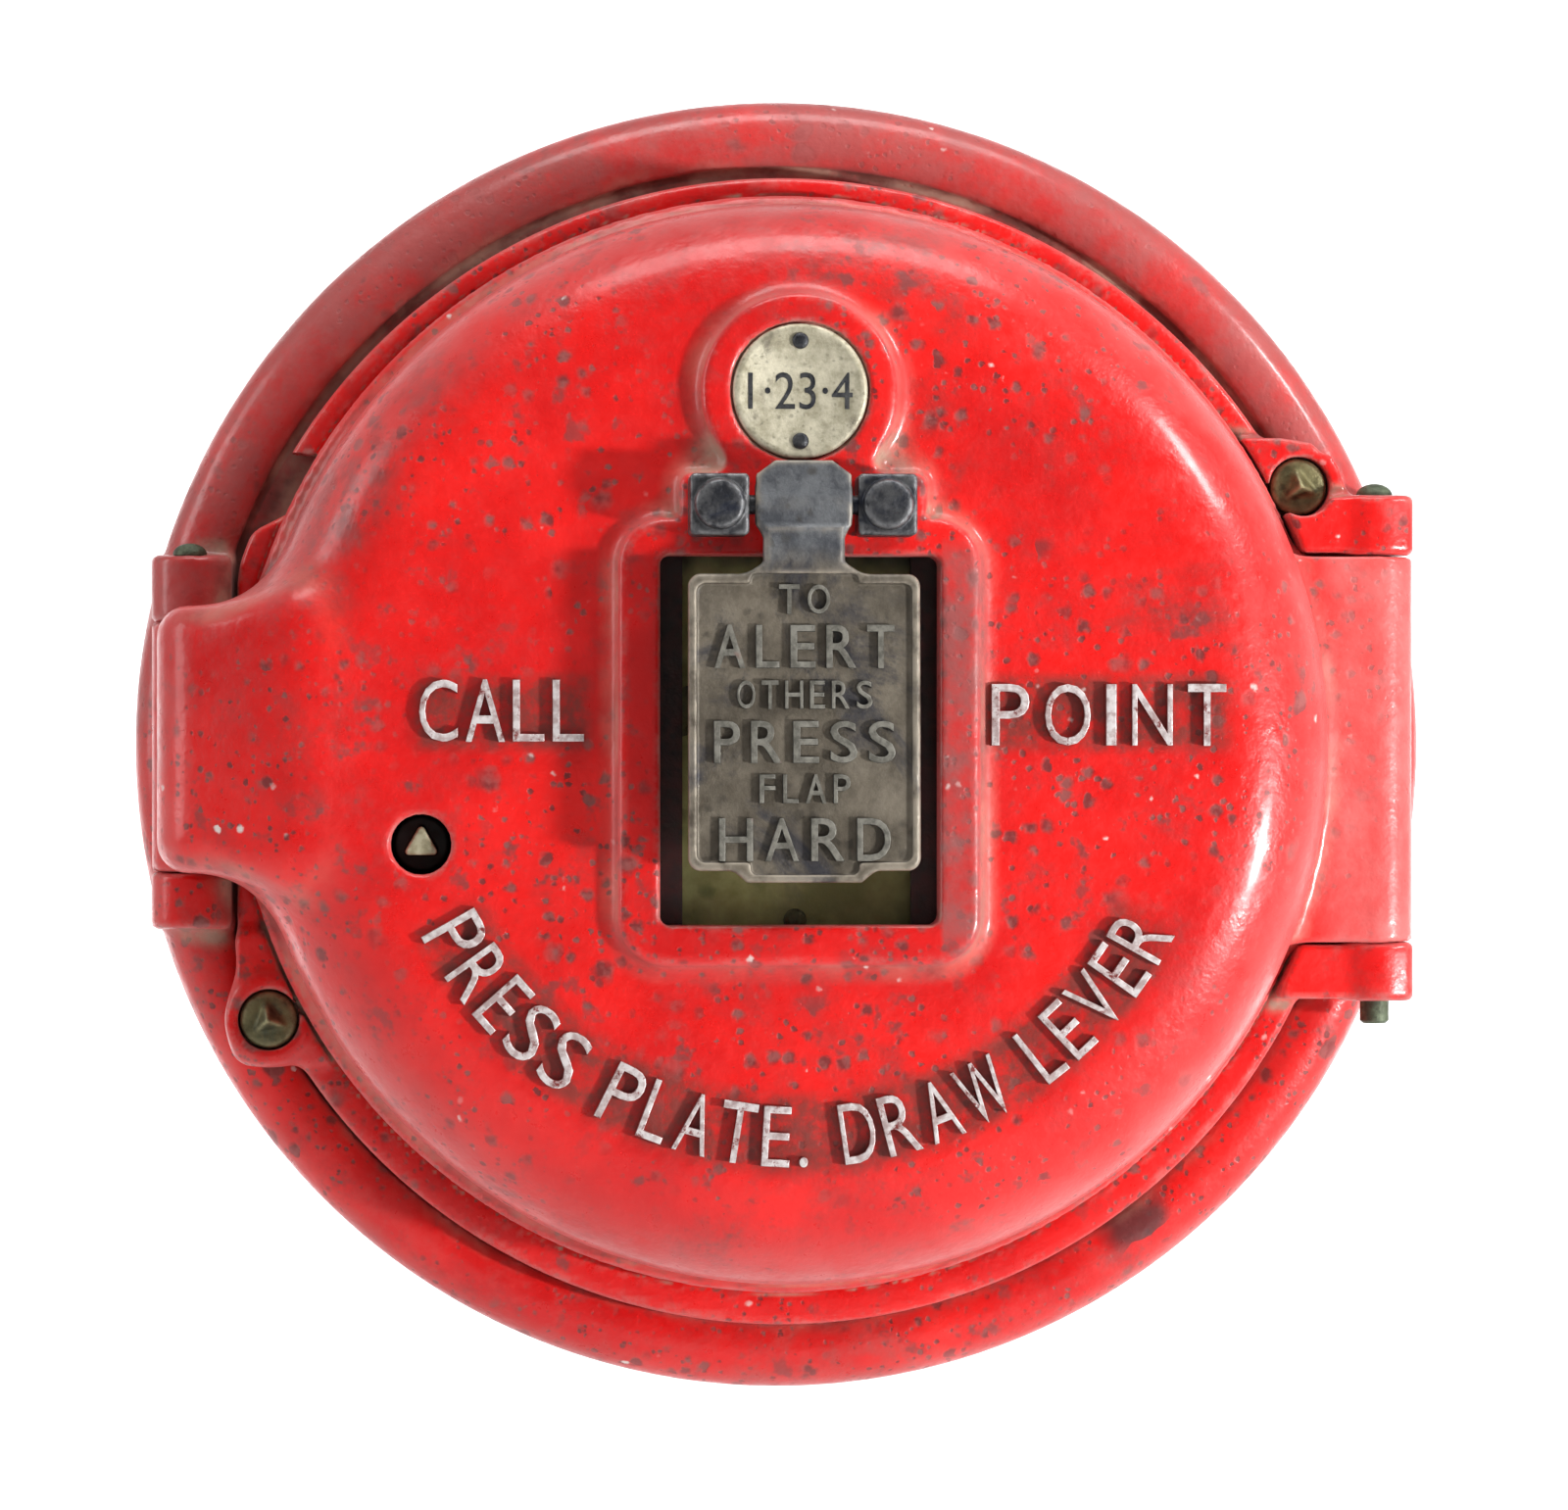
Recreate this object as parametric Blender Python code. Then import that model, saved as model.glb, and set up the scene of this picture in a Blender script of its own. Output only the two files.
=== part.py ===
"""Round cast-metal manual call point: a striker flap hangs over a glazed window in a hinged, domed door.

The door closes on a frame ring that carries the pull-lever movement, and the ring swings off the wall box.
Frame: metres, +Z up, the front faces -Y, and the origin is the centre of the wall box's flat back.
"""

import math

import bmesh
import bpy
from mathutils import Matrix, Vector

MM = 0.001

# ---- Driving dimensions -------------------------------------------------------------------------
RIM_R = 140 * MM            # outside radius of the wall box's rolled rim
DOOR_LIP_R = 117.7 * MM     # outside radius of the door's seating flange
BOX_DEPTH = 50 * MM         # wall to the crest of the rolled rim
RING_FRONT = 56 * MM        # wall to the front face of the frame ring
DOME_HEIGHT = 46 * MM       # frame ring to the flat face of the door
WALL = 5 * MM               # casting thickness
GAP = 0.3 * MM              # play left between pieces that rest on each other

# ---- Wall box -----------------------------------------------------------------------------------
ROLL_R = 9 * MM
ROLL_C = RIM_R - ROLL_R
SEAT_Y = -45 * MM
SEAT_IN_R = 106 * MM
SEAT_OUT_R = 125.2 * MM
BOX_FOOT_R = 134 * MM
BOX_SEGMENTS = 40

# ---- Frame ring ---------------------------------------------------------------------------------
RING_IN_R = 104 * MM
RING_OUT_R = 123.6 * MM
RING_DROP = 1.5 * MM        # the ring's outline hangs a little below the door's centre
RING_BACK_Y = SEAT_Y - GAP
RING_FLAT_X = -116.5 * MM   # straight left edge, beside the service hinge
LUG_BACK_Y = -(BOX_DEPTH + 0.6 * MM)
LUG_FRONT_Y = -(RING_FRONT + 3 * MM)
LUG_R = 9.2 * MM
CASE_SCREWS = {"case_screw_upper": (111.0 * MM, 55.6 * MM), "case_screw_lower": (-110.6 * MM, -58.8 * MM)}

# ---- The two vertical hinges --------------------------------------------------------------------
KNUCKLE_R = 8 * MM
PIN_R = 3.1 * MM
DOOR_AXIS = (127.3 * MM, -60 * MM)
DOOR_KNUCKLE = (-42.5 * MM, 40.6 * MM)
DOOR_EARS = ((-54.7 * MM, -43.1 * MM), (41.2 * MM, 53.1 * MM))
FRAME_AXIS = (-127.3 * MM, -59 * MM)
FRAME_KNUCKLE = (-27.0 * MM, 25.8 * MM)
FRAME_EARS = ((-39.0 * MM, -27.5 * MM), (26.3 * MM, 39.9 * MM))

# ---- Door ---------------------------------------------------------------------------------------
LIP_BACK_Y = -(RING_FRONT + GAP)
LIP_FRONT_Y = LIP_BACK_Y - 5 * MM
FACE_Y = -(RING_FRONT + DOME_HEIGHT)
DOME_WALL_R = 114 * MM
SHOULDER_R = 25 * MM
FLAT_R = DOME_WALL_R - SHOULDER_R
DOOR_SEGMENTS = 44
FRAME_Y = FACE_Y - 4 * MM   # raised frame round the window, the flap hinge's pad and the disc's boss
WINDOW_X = 28.8 * MM        # half-width of the window
WINDOW_Z = (-37.4 * MM, 38.7 * MM)
FRAME_X = 37.1 * MM
FRAME_Z = (-45.3 * MM, 46.2 * MM)
FRAME_CORNER_R = 9.5 * MM
GUIDE_X = 23.8 * MM         # half of the width left clear between the glass guides
DISC_Z = 72.5 * MM
DISC_R = 13.9 * MM
DISC_PIN = 10.3 * MM
DISC_BOSS_R = 20.1 * MM
BOSS_X = (-133 * MM, -97 * MM)  # hollow boss that covers the ring's own hinge
BOSS_Z = (-26.9 * MM, 28.8 * MM)
BOSS_BACK_Y = -68.6 * MM
KEY_X, KEY_Z = -77.8 * MM, -20.7 * MM
KEYHOLE_R = 6.25 * MM

# ---- Glass, flap --------------------------------------------------------------------------------
GLASS_Y = (FACE_Y + WALL + GAP, FACE_Y + WALL + GAP + 2 * MM)
GUIDE_Y = (GLASS_Y[1] + GAP, GLASS_Y[1] + GAP + 2.5 * MM)
FLAP_AXIS = (-114 * MM, 48.7 * MM)
FLAP_X = 23.6 * MM
FLAP_Z = (-25.9 * MM, 34.4 * MM)
FLAP_FRONT_Y = -118.4 * MM
FLAP_LEAN = 1.5             # degrees, with the bottom edge standing further out
NECK_X = 9.7 * MM
BLOCK_X = (11.1 * MM, 23.2 * MM)
BLOCK_HALF = 6.3 * MM
BLOCK_FRONT_Y = -117.6 * MM

# ---- Movement -----------------------------------------------------------------------------------
LEVER_XZ = (-44 * MM, 0.0)
GUIDE_SCREW_X = 33.8 * MM
GUIDE_SCREW_Z = (-30 * MM, 31 * MM)
MODULE = 1.0 * MM
SECTOR_TEETH = 48           # counted round the full circle
PINION_TEETH = 12
CODE_X = LEVER_XZ[0] + MODULE * (SECTOR_TEETH + PINION_TEETH) / 2
FLY_MODULE = 1.2 * MM
CODE_GEAR_TEETH = 24
FLY_TEETH = 8
FLY_X = CODE_X + FLY_MODULE * (CODE_GEAR_TEETH + FLY_TEETH) / 2
ARM_Y = (GUIDE_Y[1] + 1.3 * MM, GUIDE_Y[1] + 3.3 * MM)
FRONT_PLATE_Y = (ARM_Y[1] + 0.4 * MM, ARM_Y[1] + 2.4 * MM)
REAR_PLATE_Y = (-58.2 * MM, -56.2 * MM)
BAR_Y = (-55.9 * MM, -52.9 * MM)
BAR_X = 45 * MM
PILLARS = ((0.0, -36.8 * MM), (-50 * MM, 40 * MM), (50 * MM, 40 * MM))

COLOURS = {  # name: colour, metallic, roughness
    "red_paint": ((0.62, 0.012, 0.010), 0.0, 0.42),
    "aged_brass": ((0.27, 0.23, 0.10), 0.8, 0.50),
    "dark_bronze": ((0.085, 0.083, 0.075), 0.7, 0.55),
    "nickel": ((0.42, 0.41, 0.36), 0.8, 0.45),
    "steel": ((0.40, 0.40, 0.40), 0.9, 0.40),
    "ebonite": ((0.03, 0.025, 0.02), 0.0, 0.45),
    "spring_bronze": ((0.45, 0.25, 0.12), 0.9, 0.35),
    "clear_glass": ((0.85, 0.95, 0.92), 0.0, 0.05),
    "rubber": ((0.03, 0.03, 0.03), 0.0, 0.80),
}


# ---- Modelling helpers --------------------------------------------------------------------------
def material(name):
    """The named Principled material, made the first time that it is asked for."""
    made = bpy.data.materials.get(name)
    if made is None:
        colour, metallic, roughness = COLOURS[name]
        made = bpy.data.materials.new(name)
        made.use_nodes = True
        shader = made.node_tree.nodes["Principled BSDF"]
        shader.inputs["Base Color"].default_value = (*colour, 1.0)
        shader.inputs["Metallic"].default_value = metallic
        shader.inputs["Roughness"].default_value = roughness
    return made


def finish_mesh(bm, name, finish, location=(0, 0, 0)):
    """Turns a bmesh into a smooth-shaded object."""
    bmesh.ops.recalc_face_normals(bm, faces=bm.faces)
    mesh = bpy.data.meshes.new(name)
    bm.to_mesh(mesh)
    bm.free()
    mesh.shade_smooth()
    mesh.set_sharp_from_angle(angle=math.radians(30))
    obj = bpy.data.objects.new(name, mesh)
    obj.location = location
    bpy.context.scene.collection.objects.link(obj)
    mesh.materials.append(material(finish))
    return obj


def lathe(name, profile, finish, segments=24, location=(0, 0, 0), about="Y"):
    """Turns a closed profile of (radius, height) points round the Y or the Z axis."""
    bm = bmesh.new()
    axis = Vector((0, 1, 0)) if about == "Y" else Vector((0, 0, 1))
    points = [bm.verts.new((r, h, 0) if about == "Y" else (r, 0, h)) for r, h in profile]
    edges = [bm.edges.new(pair) for pair in zip(points, points[1:])]
    if min(profile[0][0], profile[-1][0]) > 1e-9:
        edges.append(bm.edges.new((points[-1], points[0])))
    bmesh.ops.spin(bm, geom=points + edges, cent=(0, 0, 0), axis=axis, angle=math.tau,
                   steps=segments, use_merge=True)
    bmesh.ops.remove_doubles(bm, verts=bm.verts, dist=1e-6)
    return finish_mesh(bm, name, finish, location)


def cylinder(name, radius, low, high, finish, segments=24, location=(0, 0, 0), about="Y"):
    return lathe(name, [(0, low), (radius, low), (radius, high), (0, high)], finish, segments, location, about)


def plate(name, outline, low, high, finish):
    """Extrudes an outline of (x, z) points along Y, from low to high."""
    bm = bmesh.new()
    face = bm.faces.new([bm.verts.new((x, low, z)) for x, z in outline])
    grown = bmesh.ops.extrude_face_region(bm, geom=[face])
    moved = [v for v in grown["geom"] if isinstance(v, bmesh.types.BMVert)]
    bmesh.ops.translate(bm, verts=moved, vec=(0, high - low, 0))
    return finish_mesh(bm, name, finish)


def box(name, x, y, z, finish="red_paint"):
    return plate(name, [(x[0], z[0]), (x[1], z[0]), (x[1], z[1]), (x[0], z[1])], min(y), max(y), finish)


def arc(centre, radius, start, end, steps):
    """Points along an arc, in degrees, both ends included."""
    turns = [math.radians(start + (end - start) * i / steps) for i in range(steps + 1)]
    return [(centre[0] + radius * math.cos(t), centre[1] + radius * math.sin(t)) for t in turns]


def rounded(x, z, radius, steps=4):
    """The outline of a rectangle with round corners; x and z are (low, high)."""
    corners = ((x[1], z[1], 0), (x[0], z[1], 90), (x[0], z[0], 180), (x[1], z[0], 270))
    points = []
    for cx, cz, start in corners:
        inward = (cx - math.copysign(radius, cx - sum(x) / 2), cz - math.copysign(radius, cz - sum(z) / 2))
        points += arc(inward, radius, start, start + 90, steps)
    return points


def bevel_edges(obj, width, segments=1, angle=40):
    """A Bevel modifier on the sharp edges, put before any cut."""
    modifier = obj.modifiers.new("Bevel", "BEVEL")
    modifier.width = width
    modifier.segments = segments
    modifier.limit_method = "ANGLE"
    modifier.angle_limit = math.radians(angle)
    return obj


def combine(obj, operation, *tools):
    """Adds one Boolean for each tool, and hides the tools."""
    for tool in tools:
        modifier = obj.modifiers.new(tool.name, "BOOLEAN")
        modifier.operation = operation
        modifier.object = tool
        tool.hide_render = True
        tool.display_type = "WIRE"
    return obj


def turned_screw(name, xz, seat_y, head_r, head_h, shank_r, shank, finish="aged_brass", points=16):
    """A domed screw whose head sits on seat_y, with its shank running back along +Y."""
    dome = [(head_r * math.cos(t), seat_y - head_h * math.sin(t)) for t in (0.0, 0.5, 1.0)]
    profile = [(0, seat_y - head_h), *reversed(dome), (shank_r, seat_y), (shank_r, seat_y + shank), (0, seat_y + shank)]
    return lathe(name, profile, finish, points, (xz[0], 0, xz[1]))


def gear_outline(teeth, module, phase=0.0, tip=0.20, root=0.44, first=0, last=None):
    """A toothed outline round the origin; tip and root are tooth widths as shares of one tooth's angle."""
    centre_r = teeth * module / 2
    tooth = math.tau / teeth
    rows = ((centre_r - 1.05 * module, root), (centre_r + 0.7 * module, tip))
    outline = []
    for k in range(first, teeth if last is None else last):
        middle = phase + k * tooth
        flank = [(r, -share / 2 * tooth) for r, share in rows]
        flank += [(r, -a) for r, a in reversed(flank)]
        outline += [(r * math.cos(middle + a), r * math.sin(middle + a)) for r, a in flank]
    return outline


def shifted(outline, x, z=0.0):
    return [(px + x, pz + z) for px, pz in outline]


# ---- Wall box and what stays on the wall --------------------------------------------------------
def frame_axis_piece(name, low, high, radius=KNUCKLE_R, finish="red_paint", segments=24):
    return cylinder(name, radius, low, high, finish, segments, (*FRAME_AXIS, 0), "Z")


def door_axis_piece(name, low, high, radius=KNUCKLE_R, finish="red_paint", segments=24):
    return cylinder(name, radius, low, high, finish, segments, (*DOOR_AXIS, 0), "Z")


def make_back_box():
    """A bowl with a rolled rim, a seat for the ring, two ears for the service hinge and two screw bosses."""
    roll = arc((ROLL_C, -(BOX_DEPTH - ROLL_R)), ROLL_R, 0, -127, 6)
    inner_r = RIM_R - 2 * WALL - 1 * MM
    profile = [(0, 0), (BOX_FOOT_R, 0), (BOX_FOOT_R + 2 * MM, -2 * MM), *roll,
               (SEAT_OUT_R, SEAT_Y), (SEAT_IN_R, SEAT_Y), (SEAT_IN_R, SEAT_Y + WALL),
               (inner_r - 4 * MM, SEAT_Y + WALL), (inner_r, SEAT_Y + 2 * WALL), (inner_r, -2 * WALL),
               (inner_r - WALL, -WALL), (0, -WALL)]
    body = lathe("back_box", profile, "red_paint", BOX_SEGMENTS)
    for label, ends in (("lower", FRAME_EARS[0]), ("upper", FRAME_EARS[1])):
        ear = frame_axis_piece(f"ear_{label}", *ends)
        web = box(f"ear_web_{label}", (-133 * MM, -122 * MM), (FRAME_AXIS[1], -44 * MM), ends)
        combine(body, "UNION", ear, web)
    bore = frame_axis_piece("frame_pin_bore", -60 * MM, 60 * MM, PIN_R + GAP)
    combine(body, "DIFFERENCE", bore)
    for x, z in CASE_SCREWS.values():
        hole = cylinder(f"case_hole_{x:.3f}", 5.3 * MM, -70 * MM, SEAT_Y + 1.5 * MM, "red_paint", 17, (x, 0, z))
        combine(body, "DIFFERENCE", hole)
    for turn in (90, 210, 330):
        x, z = 100 * MM * math.cos(math.radians(turn)), 100 * MM * math.sin(math.radians(turn))
        fixing = cylinder(f"fixing_hole_{turn}", 3.2 * MM, -12 * MM, 6 * MM, "red_paint", 14, (x, 0, z))
        combine(body, "DIFFERENCE", fixing)
    entry = cylinder("entry_cutter", 9.3 * MM, -12 * MM, 6 * MM, "red_paint", 20, (0, 0, -62 * MM))
    combine(body, "DIFFERENCE", entry)
    return body


def make_case():
    """Everything that stays on the wall."""
    pieces = [make_back_box()]
    top = FRAME_EARS[1][1] + GAP
    pin = [(0, -38.5 * MM), (PIN_R, -38.5 * MM), (PIN_R, top), (3.6 * MM, top), (3.2 * MM, top + 1.3 * MM),
           (1.8 * MM, top + 2.1 * MM), (0, top + 2.3 * MM)]
    pieces.append(lathe("frame_hinge_pin", pin, "aged_brass", 16, (*FRAME_AXIS, 0), "Z"))
    bush = [(6 * MM, 0), (9 * MM, 0), (9 * MM, -5.3 * MM), (12 * MM, -5.3 * MM), (12 * MM, -8 * MM), (6 * MM, -8 * MM)]
    pieces.append(lathe("cable_bush", bush, "ebonite", 20, (0, 0, -62 * MM)))
    top_y = -23 * MM
    block = box("terminal_block", (-34 * MM, 34 * MM), (-WALL - GAP, top_y), (-34 * MM, -14 * MM), "ebonite")
    bevel_edges(block, 1.2 * MM)
    for i in range(3):
        x = (i - 1) * 17 * MM
        rib_gap = box(f"terminal_slot_{i}", (x - 1 * MM, x + 1 * MM), (-30 * MM, -18 * MM), (-40 * MM, -8 * MM))
        combine(block, "DIFFERENCE", rib_gap)
    pieces.append(block)
    for i in range(4):
        x = (i - 1.5) * 17 * MM
        hole = cylinder(f"terminal_hole_{i}", 2.3 * MM, -30 * MM, -12 * MM, "ebonite", 12, (x, 0, -24 * MM))
        combine(block, "DIFFERENCE", hole)
        pieces.append(turned_screw(f"terminal_screw_{i + 1}", (x, -24 * MM), top_y - GAP, 4 * MM, 2.4 * MM,
                                   2 * MM, 9 * MM, points=12))
    return pieces


# ---- Frame ring and the movement's fixed parts --------------------------------------------------
def make_hinge_ring():
    """The seat for the door: ears for its hinge, a knuckle for the service hinge and two screw lugs."""
    edge = 1.5 * MM
    profile = [(RING_IN_R, RING_BACK_Y), (RING_OUT_R - edge, RING_BACK_Y), (RING_OUT_R, RING_BACK_Y - edge),
               (RING_OUT_R, -RING_FRONT + edge), (RING_OUT_R - edge, -RING_FRONT), (RING_IN_R, -RING_FRONT)]
    ring = lathe("hinge_ring", profile, "red_paint", BOX_SEGMENTS, (0, 0, -RING_DROP))
    flat = box("flat_cutter", (-140 * MM, RING_FLAT_X), (-70 * MM, -30 * MM), (-60 * MM, 60 * MM))
    combine(ring, "DIFFERENCE", flat)
    knuckle = frame_axis_piece("frame_knuckle", *FRAME_KNUCKLE)
    web = box("frame_web", (FRAME_AXIS[0] - 1.3 * MM, -110 * MM), (-RING_FRONT + 0.8 * MM, -51.5 * MM), FRAME_KNUCKLE)
    combine(ring, "UNION", knuckle, web)
    for x, z in CASE_SCREWS.values():
        side = math.copysign(1, x)
        lug = cylinder(f"lug_{side:.0f}", LUG_R, LUG_FRONT_Y, LUG_BACK_Y, "red_paint", 24, (x, 0, z))
        inner = (x - side * 14 * MM, x)
        inset = 0.2 * MM
        arm = box(f"lug_arm_{side:.0f}", sorted(inner), (LUG_FRONT_Y + inset, LUG_BACK_Y - inset),
                  (z - LUG_R + inset, z + LUG_R - inset))
        combine(ring, "UNION", lug, arm)
    reach = box("left_lug_edge", (-118.5 * MM, -108 * MM), (-RING_FRONT + 0.1 * MM, LUG_BACK_Y - 0.1 * MM), (-60.3 * MM, -42 * MM))
    combine(ring, "UNION", reach)
    relief = door_axis_piece("door_knuckle_relief", -43.0 * MM, 41.1 * MM, KNUCKLE_R + 0.6 * MM)
    combine(ring, "DIFFERENCE", relief)
    for label, ends in (("lower", DOOR_EARS[0]), ("upper", DOOR_EARS[1])):
        ear = door_axis_piece(f"door_ear_{label}", *ends)
        root = box(f"door_ear_root_{label}", (106 * MM, DOOR_AXIS[0] + 1.3 * MM), (DOOR_AXIS[1] - 4.2 * MM, LUG_BACK_Y + 0.1 * MM), ends)
        combine(ring, "UNION", ear, root)
    clear = cylinder("door_flange_clearance", DOOR_LIP_R + 0.6 * MM, -90 * MM, -RING_FRONT + 0.4 * MM, "red_paint",
                     DOOR_SEGMENTS)
    bore = door_axis_piece("door_pin_bore", -70 * MM, 70 * MM, PIN_R + GAP, segments=18)
    frame_bore = frame_axis_piece("frame_knuckle_bore", -60 * MM, 60 * MM, PIN_R + GAP, segments=18)
    combine(ring, "DIFFERENCE", clear, bore, frame_bore)
    for x, z in CASE_SCREWS.values():
        head = cylinder(f"counterbore_{x:.3f}", 6.5 * MM, -70 * MM, LUG_FRONT_Y + 4 * MM, "red_paint", 22, (x, 0, z))
        shank = cylinder(f"lug_hole_{x:.3f}", 3.5 * MM, -70 * MM, -30 * MM, "red_paint", 15, (x, 0, z))
        combine(ring, "DIFFERENCE", head, shank)
    keeper = math.atan2(KEY_Z, KEY_X)
    turn = Matrix.Rotation(-keeper, 4, "Y")
    tab = box("keeper_tab", (95 * MM, 107 * MM), (-58.7 * MM, -54.9 * MM), (-8 * MM, 8 * MM))
    tab.data.transform(turn)
    combine(ring, "UNION", tab)
    for sx in (-1, 1):
        for sz in (-1, 1):
            foot = box(f"bar_foot_{sx}_{sz}", sorted((sx * (BAR_X - 7 * MM), sx * (BAR_X + 7 * MM))),
                       (RING_BACK_Y - 0.2 * MM, BAR_Y[1] + GAP), sorted((sz * 76 * MM, sz * 99 * MM)))
            combine(ring, "UNION", foot)
    return ring


def case_screw(name, xz):
    """Captive screw: a domed head that carries a blunt three-cornered drive, and a short shank."""
    seat = LUG_FRONT_Y + 4 * MM - GAP
    head_r, front = 5.9 * MM, LUG_FRONT_Y + 0.6 * MM
    profile = [(0, front - 1.2 * MM), (3.6 * MM, front - 0.9 * MM), (head_r - 0.7 * MM, front), (head_r, front + 0.9 * MM),
               (head_r, seat), (PIN_R - 0.1 * MM, seat), (PIN_R - 0.1 * MM, SEAT_Y - 2.5 * MM), (0, SEAT_Y - 2.5 * MM)]
    screw = lathe(name, profile, "aged_brass", 20, (xz[0], 0, xz[1]))
    drive = lathe(f"{name}_drive", [(0, front - 3.4 * MM), (1.0 * MM, front - 3.2 * MM), (3.4 * MM, front - 0.4 * MM),
                                    (0, front)], "aged_brass", 3, (xz[0], 0, xz[1]))
    return combine(screw, "UNION", drive)


def triangle(side, steps=2):
    """The outline of a three-cornered key with rounded corners, point up."""
    corner_r = side * 0.14
    reach = side / math.sqrt(3) - 2 * corner_r
    points = []
    for k in range(3):
        turn = 90 + 120 * k
        centre = (reach * math.cos(math.radians(turn)), reach * math.sin(math.radians(turn)))
        points += arc(centre, corner_r, turn - 60, turn + 60, steps)
    return points


def make_movement():
    """The plates, pillars, bars, contacts and screws that hold the movement in the ring."""
    pieces = []
    outline = rounded((-60 * MM, 60 * MM), (-46 * MM, 50 * MM), 8 * MM, 3)
    front = plate("front_plate", outline, *FRONT_PLATE_Y, "aged_brass")
    rear = plate("rear_plate", outline, *REAR_PLATE_Y, "aged_brass")
    arbor_holes = (("lever", LEVER_XZ[0], 3.2 * MM), ("code", CODE_X, 2.3 * MM), ("fly", FLY_X, 1.8 * MM))
    for side, body in (("front", front), ("rear", rear)):
        for label, x, radius in arbor_holes:
            hole = cylinder(f"{side}_{label}_hole", radius, -99 * MM, -50 * MM, "aged_brass", 14, (x, 0, 0))
            combine(body, "DIFFERENCE", hole)
    pieces += [front, rear]
    for i, (x, z) in enumerate(PILLARS):
        hole = cylinder(f"pillar_hole_{i}", 1.8 * MM, -99 * MM, -80 * MM, "aged_brass", 12, (x, 0, z))
        combine(front, "DIFFERENCE", hole)
        ends = (FRONT_PLATE_Y[1] + GAP, REAR_PLATE_Y[0] - GAP)
        waist = 2.6 * MM
        post = [(0, ends[0]), (3.6 * MM, ends[0]), (3.6 * MM, ends[0] + 4 * MM), (waist, ends[0] + 5 * MM),
                (waist, ends[1] - 5 * MM), (3.6 * MM, ends[1] - 4 * MM), (3.6 * MM, ends[1]), (0, ends[1])]
        pillar = lathe(f"pillar_{i + 1}", post, "aged_brass", 14, (x, 0, z))
        socket = cylinder(f"pillar_socket_{i}", 1.8 * MM, -99 * MM, ends[0] + 4 * MM, "aged_brass", 12, (x, 0, z))
        pieces.append(combine(pillar, "DIFFERENCE", socket))
        pieces.append(turned_screw(f"plate_screw_{i + 1}", (x, z), FRONT_PLATE_Y[0] - GAP, 2.45 * MM, 1.5 * MM,
                                   1.5 * MM, 5 * MM, points=14))
    number = 1
    for side, label in ((-1, "left"), (1, "right")):
        x = sorted((side * (BAR_X - 5 * MM), side * (BAR_X + 5 * MM)))
        bar = box(f"chassis_bar_{label}", x, BAR_Y, (-88.5 * MM, 88.5 * MM), "steel")
        bevel_edges(bar, 0.6 * MM)
        pieces.append(bar)
        for sz in (1, -1):
            where = (side * BAR_X, sz * 82.5 * MM)
            pieces.append(turned_screw(f"chassis_screw_{number}", where, BAR_Y[0] - GAP, 3.4 * MM, 2 * MM, 1.7 * MM,
                                       7.5 * MM, "steel", 12))
            for body in (bar, bpy.data.objects["hinge_ring"]):
                hole = cylinder(f"{body.name}_hole_{number}", 2.0 * MM, -70 * MM, -40 * MM, "steel", 12,
                                (where[0], 0, where[1]))
                combine(body, "DIFFERENCE", hole)
            number += 1
    wheel_top = 16.5 * MM
    block = box("contact_block", (10 * MM, 28 * MM), (-80 * MM, REAR_PLATE_Y[0] - GAP), (15.4 * MM, 24 * MM), "ebonite")
    pieces.append(bevel_edges(block, 0.8 * MM))
    for label, z, reach in (("lower", wheel_top + 1.0 * MM, -18 * MM), ("upper", wheel_top + 3.6 * MM, -22 * MM)):
        slot = box(f"contact_slot_{label}", (5 * MM, 20 * MM), (-77 * MM, -72.6 * MM), (z - 0.7 * MM, z + 0.7 * MM))
        combine(block, "DIFFERENCE", slot)
        leaf = box(f"contact_spring_{label}", (reach, 19.6 * MM), (-76.4 * MM, -73.2 * MM),
                   (z - 0.3 * MM, z + 0.3 * MM), "spring_bronze")
        pieces.append(leaf)
    stop = cylinder("lever_stop", 1.8 * MM, ARM_Y[0] + 0.2 * MM, FRONT_PLATE_Y[0] - GAP, "steel", 12,
                    (-33.3 * MM, 0, 12.2 * MM))
    pieces.append(stop)
    return pieces


def make_frame():
    pieces = [make_hinge_ring()]
    pieces += [case_screw(name, xz) for name, xz in CASE_SCREWS.items()]
    low, top = DOOR_EARS[0][0] - 5.5 * MM, DOOR_EARS[1][1] + GAP
    pin = [(0, low), (PIN_R, low), (PIN_R, top), (3.9 * MM, top), (3.4 * MM, top + 1.4 * MM),
           (1.9 * MM, top + 2.3 * MM), (0, top + 2.5 * MM)]
    pieces.append(lathe("door_hinge_pin", pin, "aged_brass", 16, (*DOOR_AXIS, 0), "Z"))
    seal_y = -RING_FRONT - GAP
    seal = [(106.4 * MM, seal_y), (108.6 * MM, seal_y), (108.6 * MM, seal_y - 2 * MM), (106.4 * MM, seal_y - 2 * MM)]
    gasket = lathe("door_gasket", seal, "rubber", 36)
    gap_at = math.atan2(KEY_Z, KEY_X)
    notch = box("gasket_notch", (100 * MM, 112 * MM), (-64 * MM, -50 * MM), (-8.4 * MM, 8.4 * MM))
    notch.data.transform(Matrix.Rotation(-gap_at, 4, "Y"))
    pieces.append(combine(gasket, "DIFFERENCE", notch))
    return pieces + make_movement()


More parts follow.
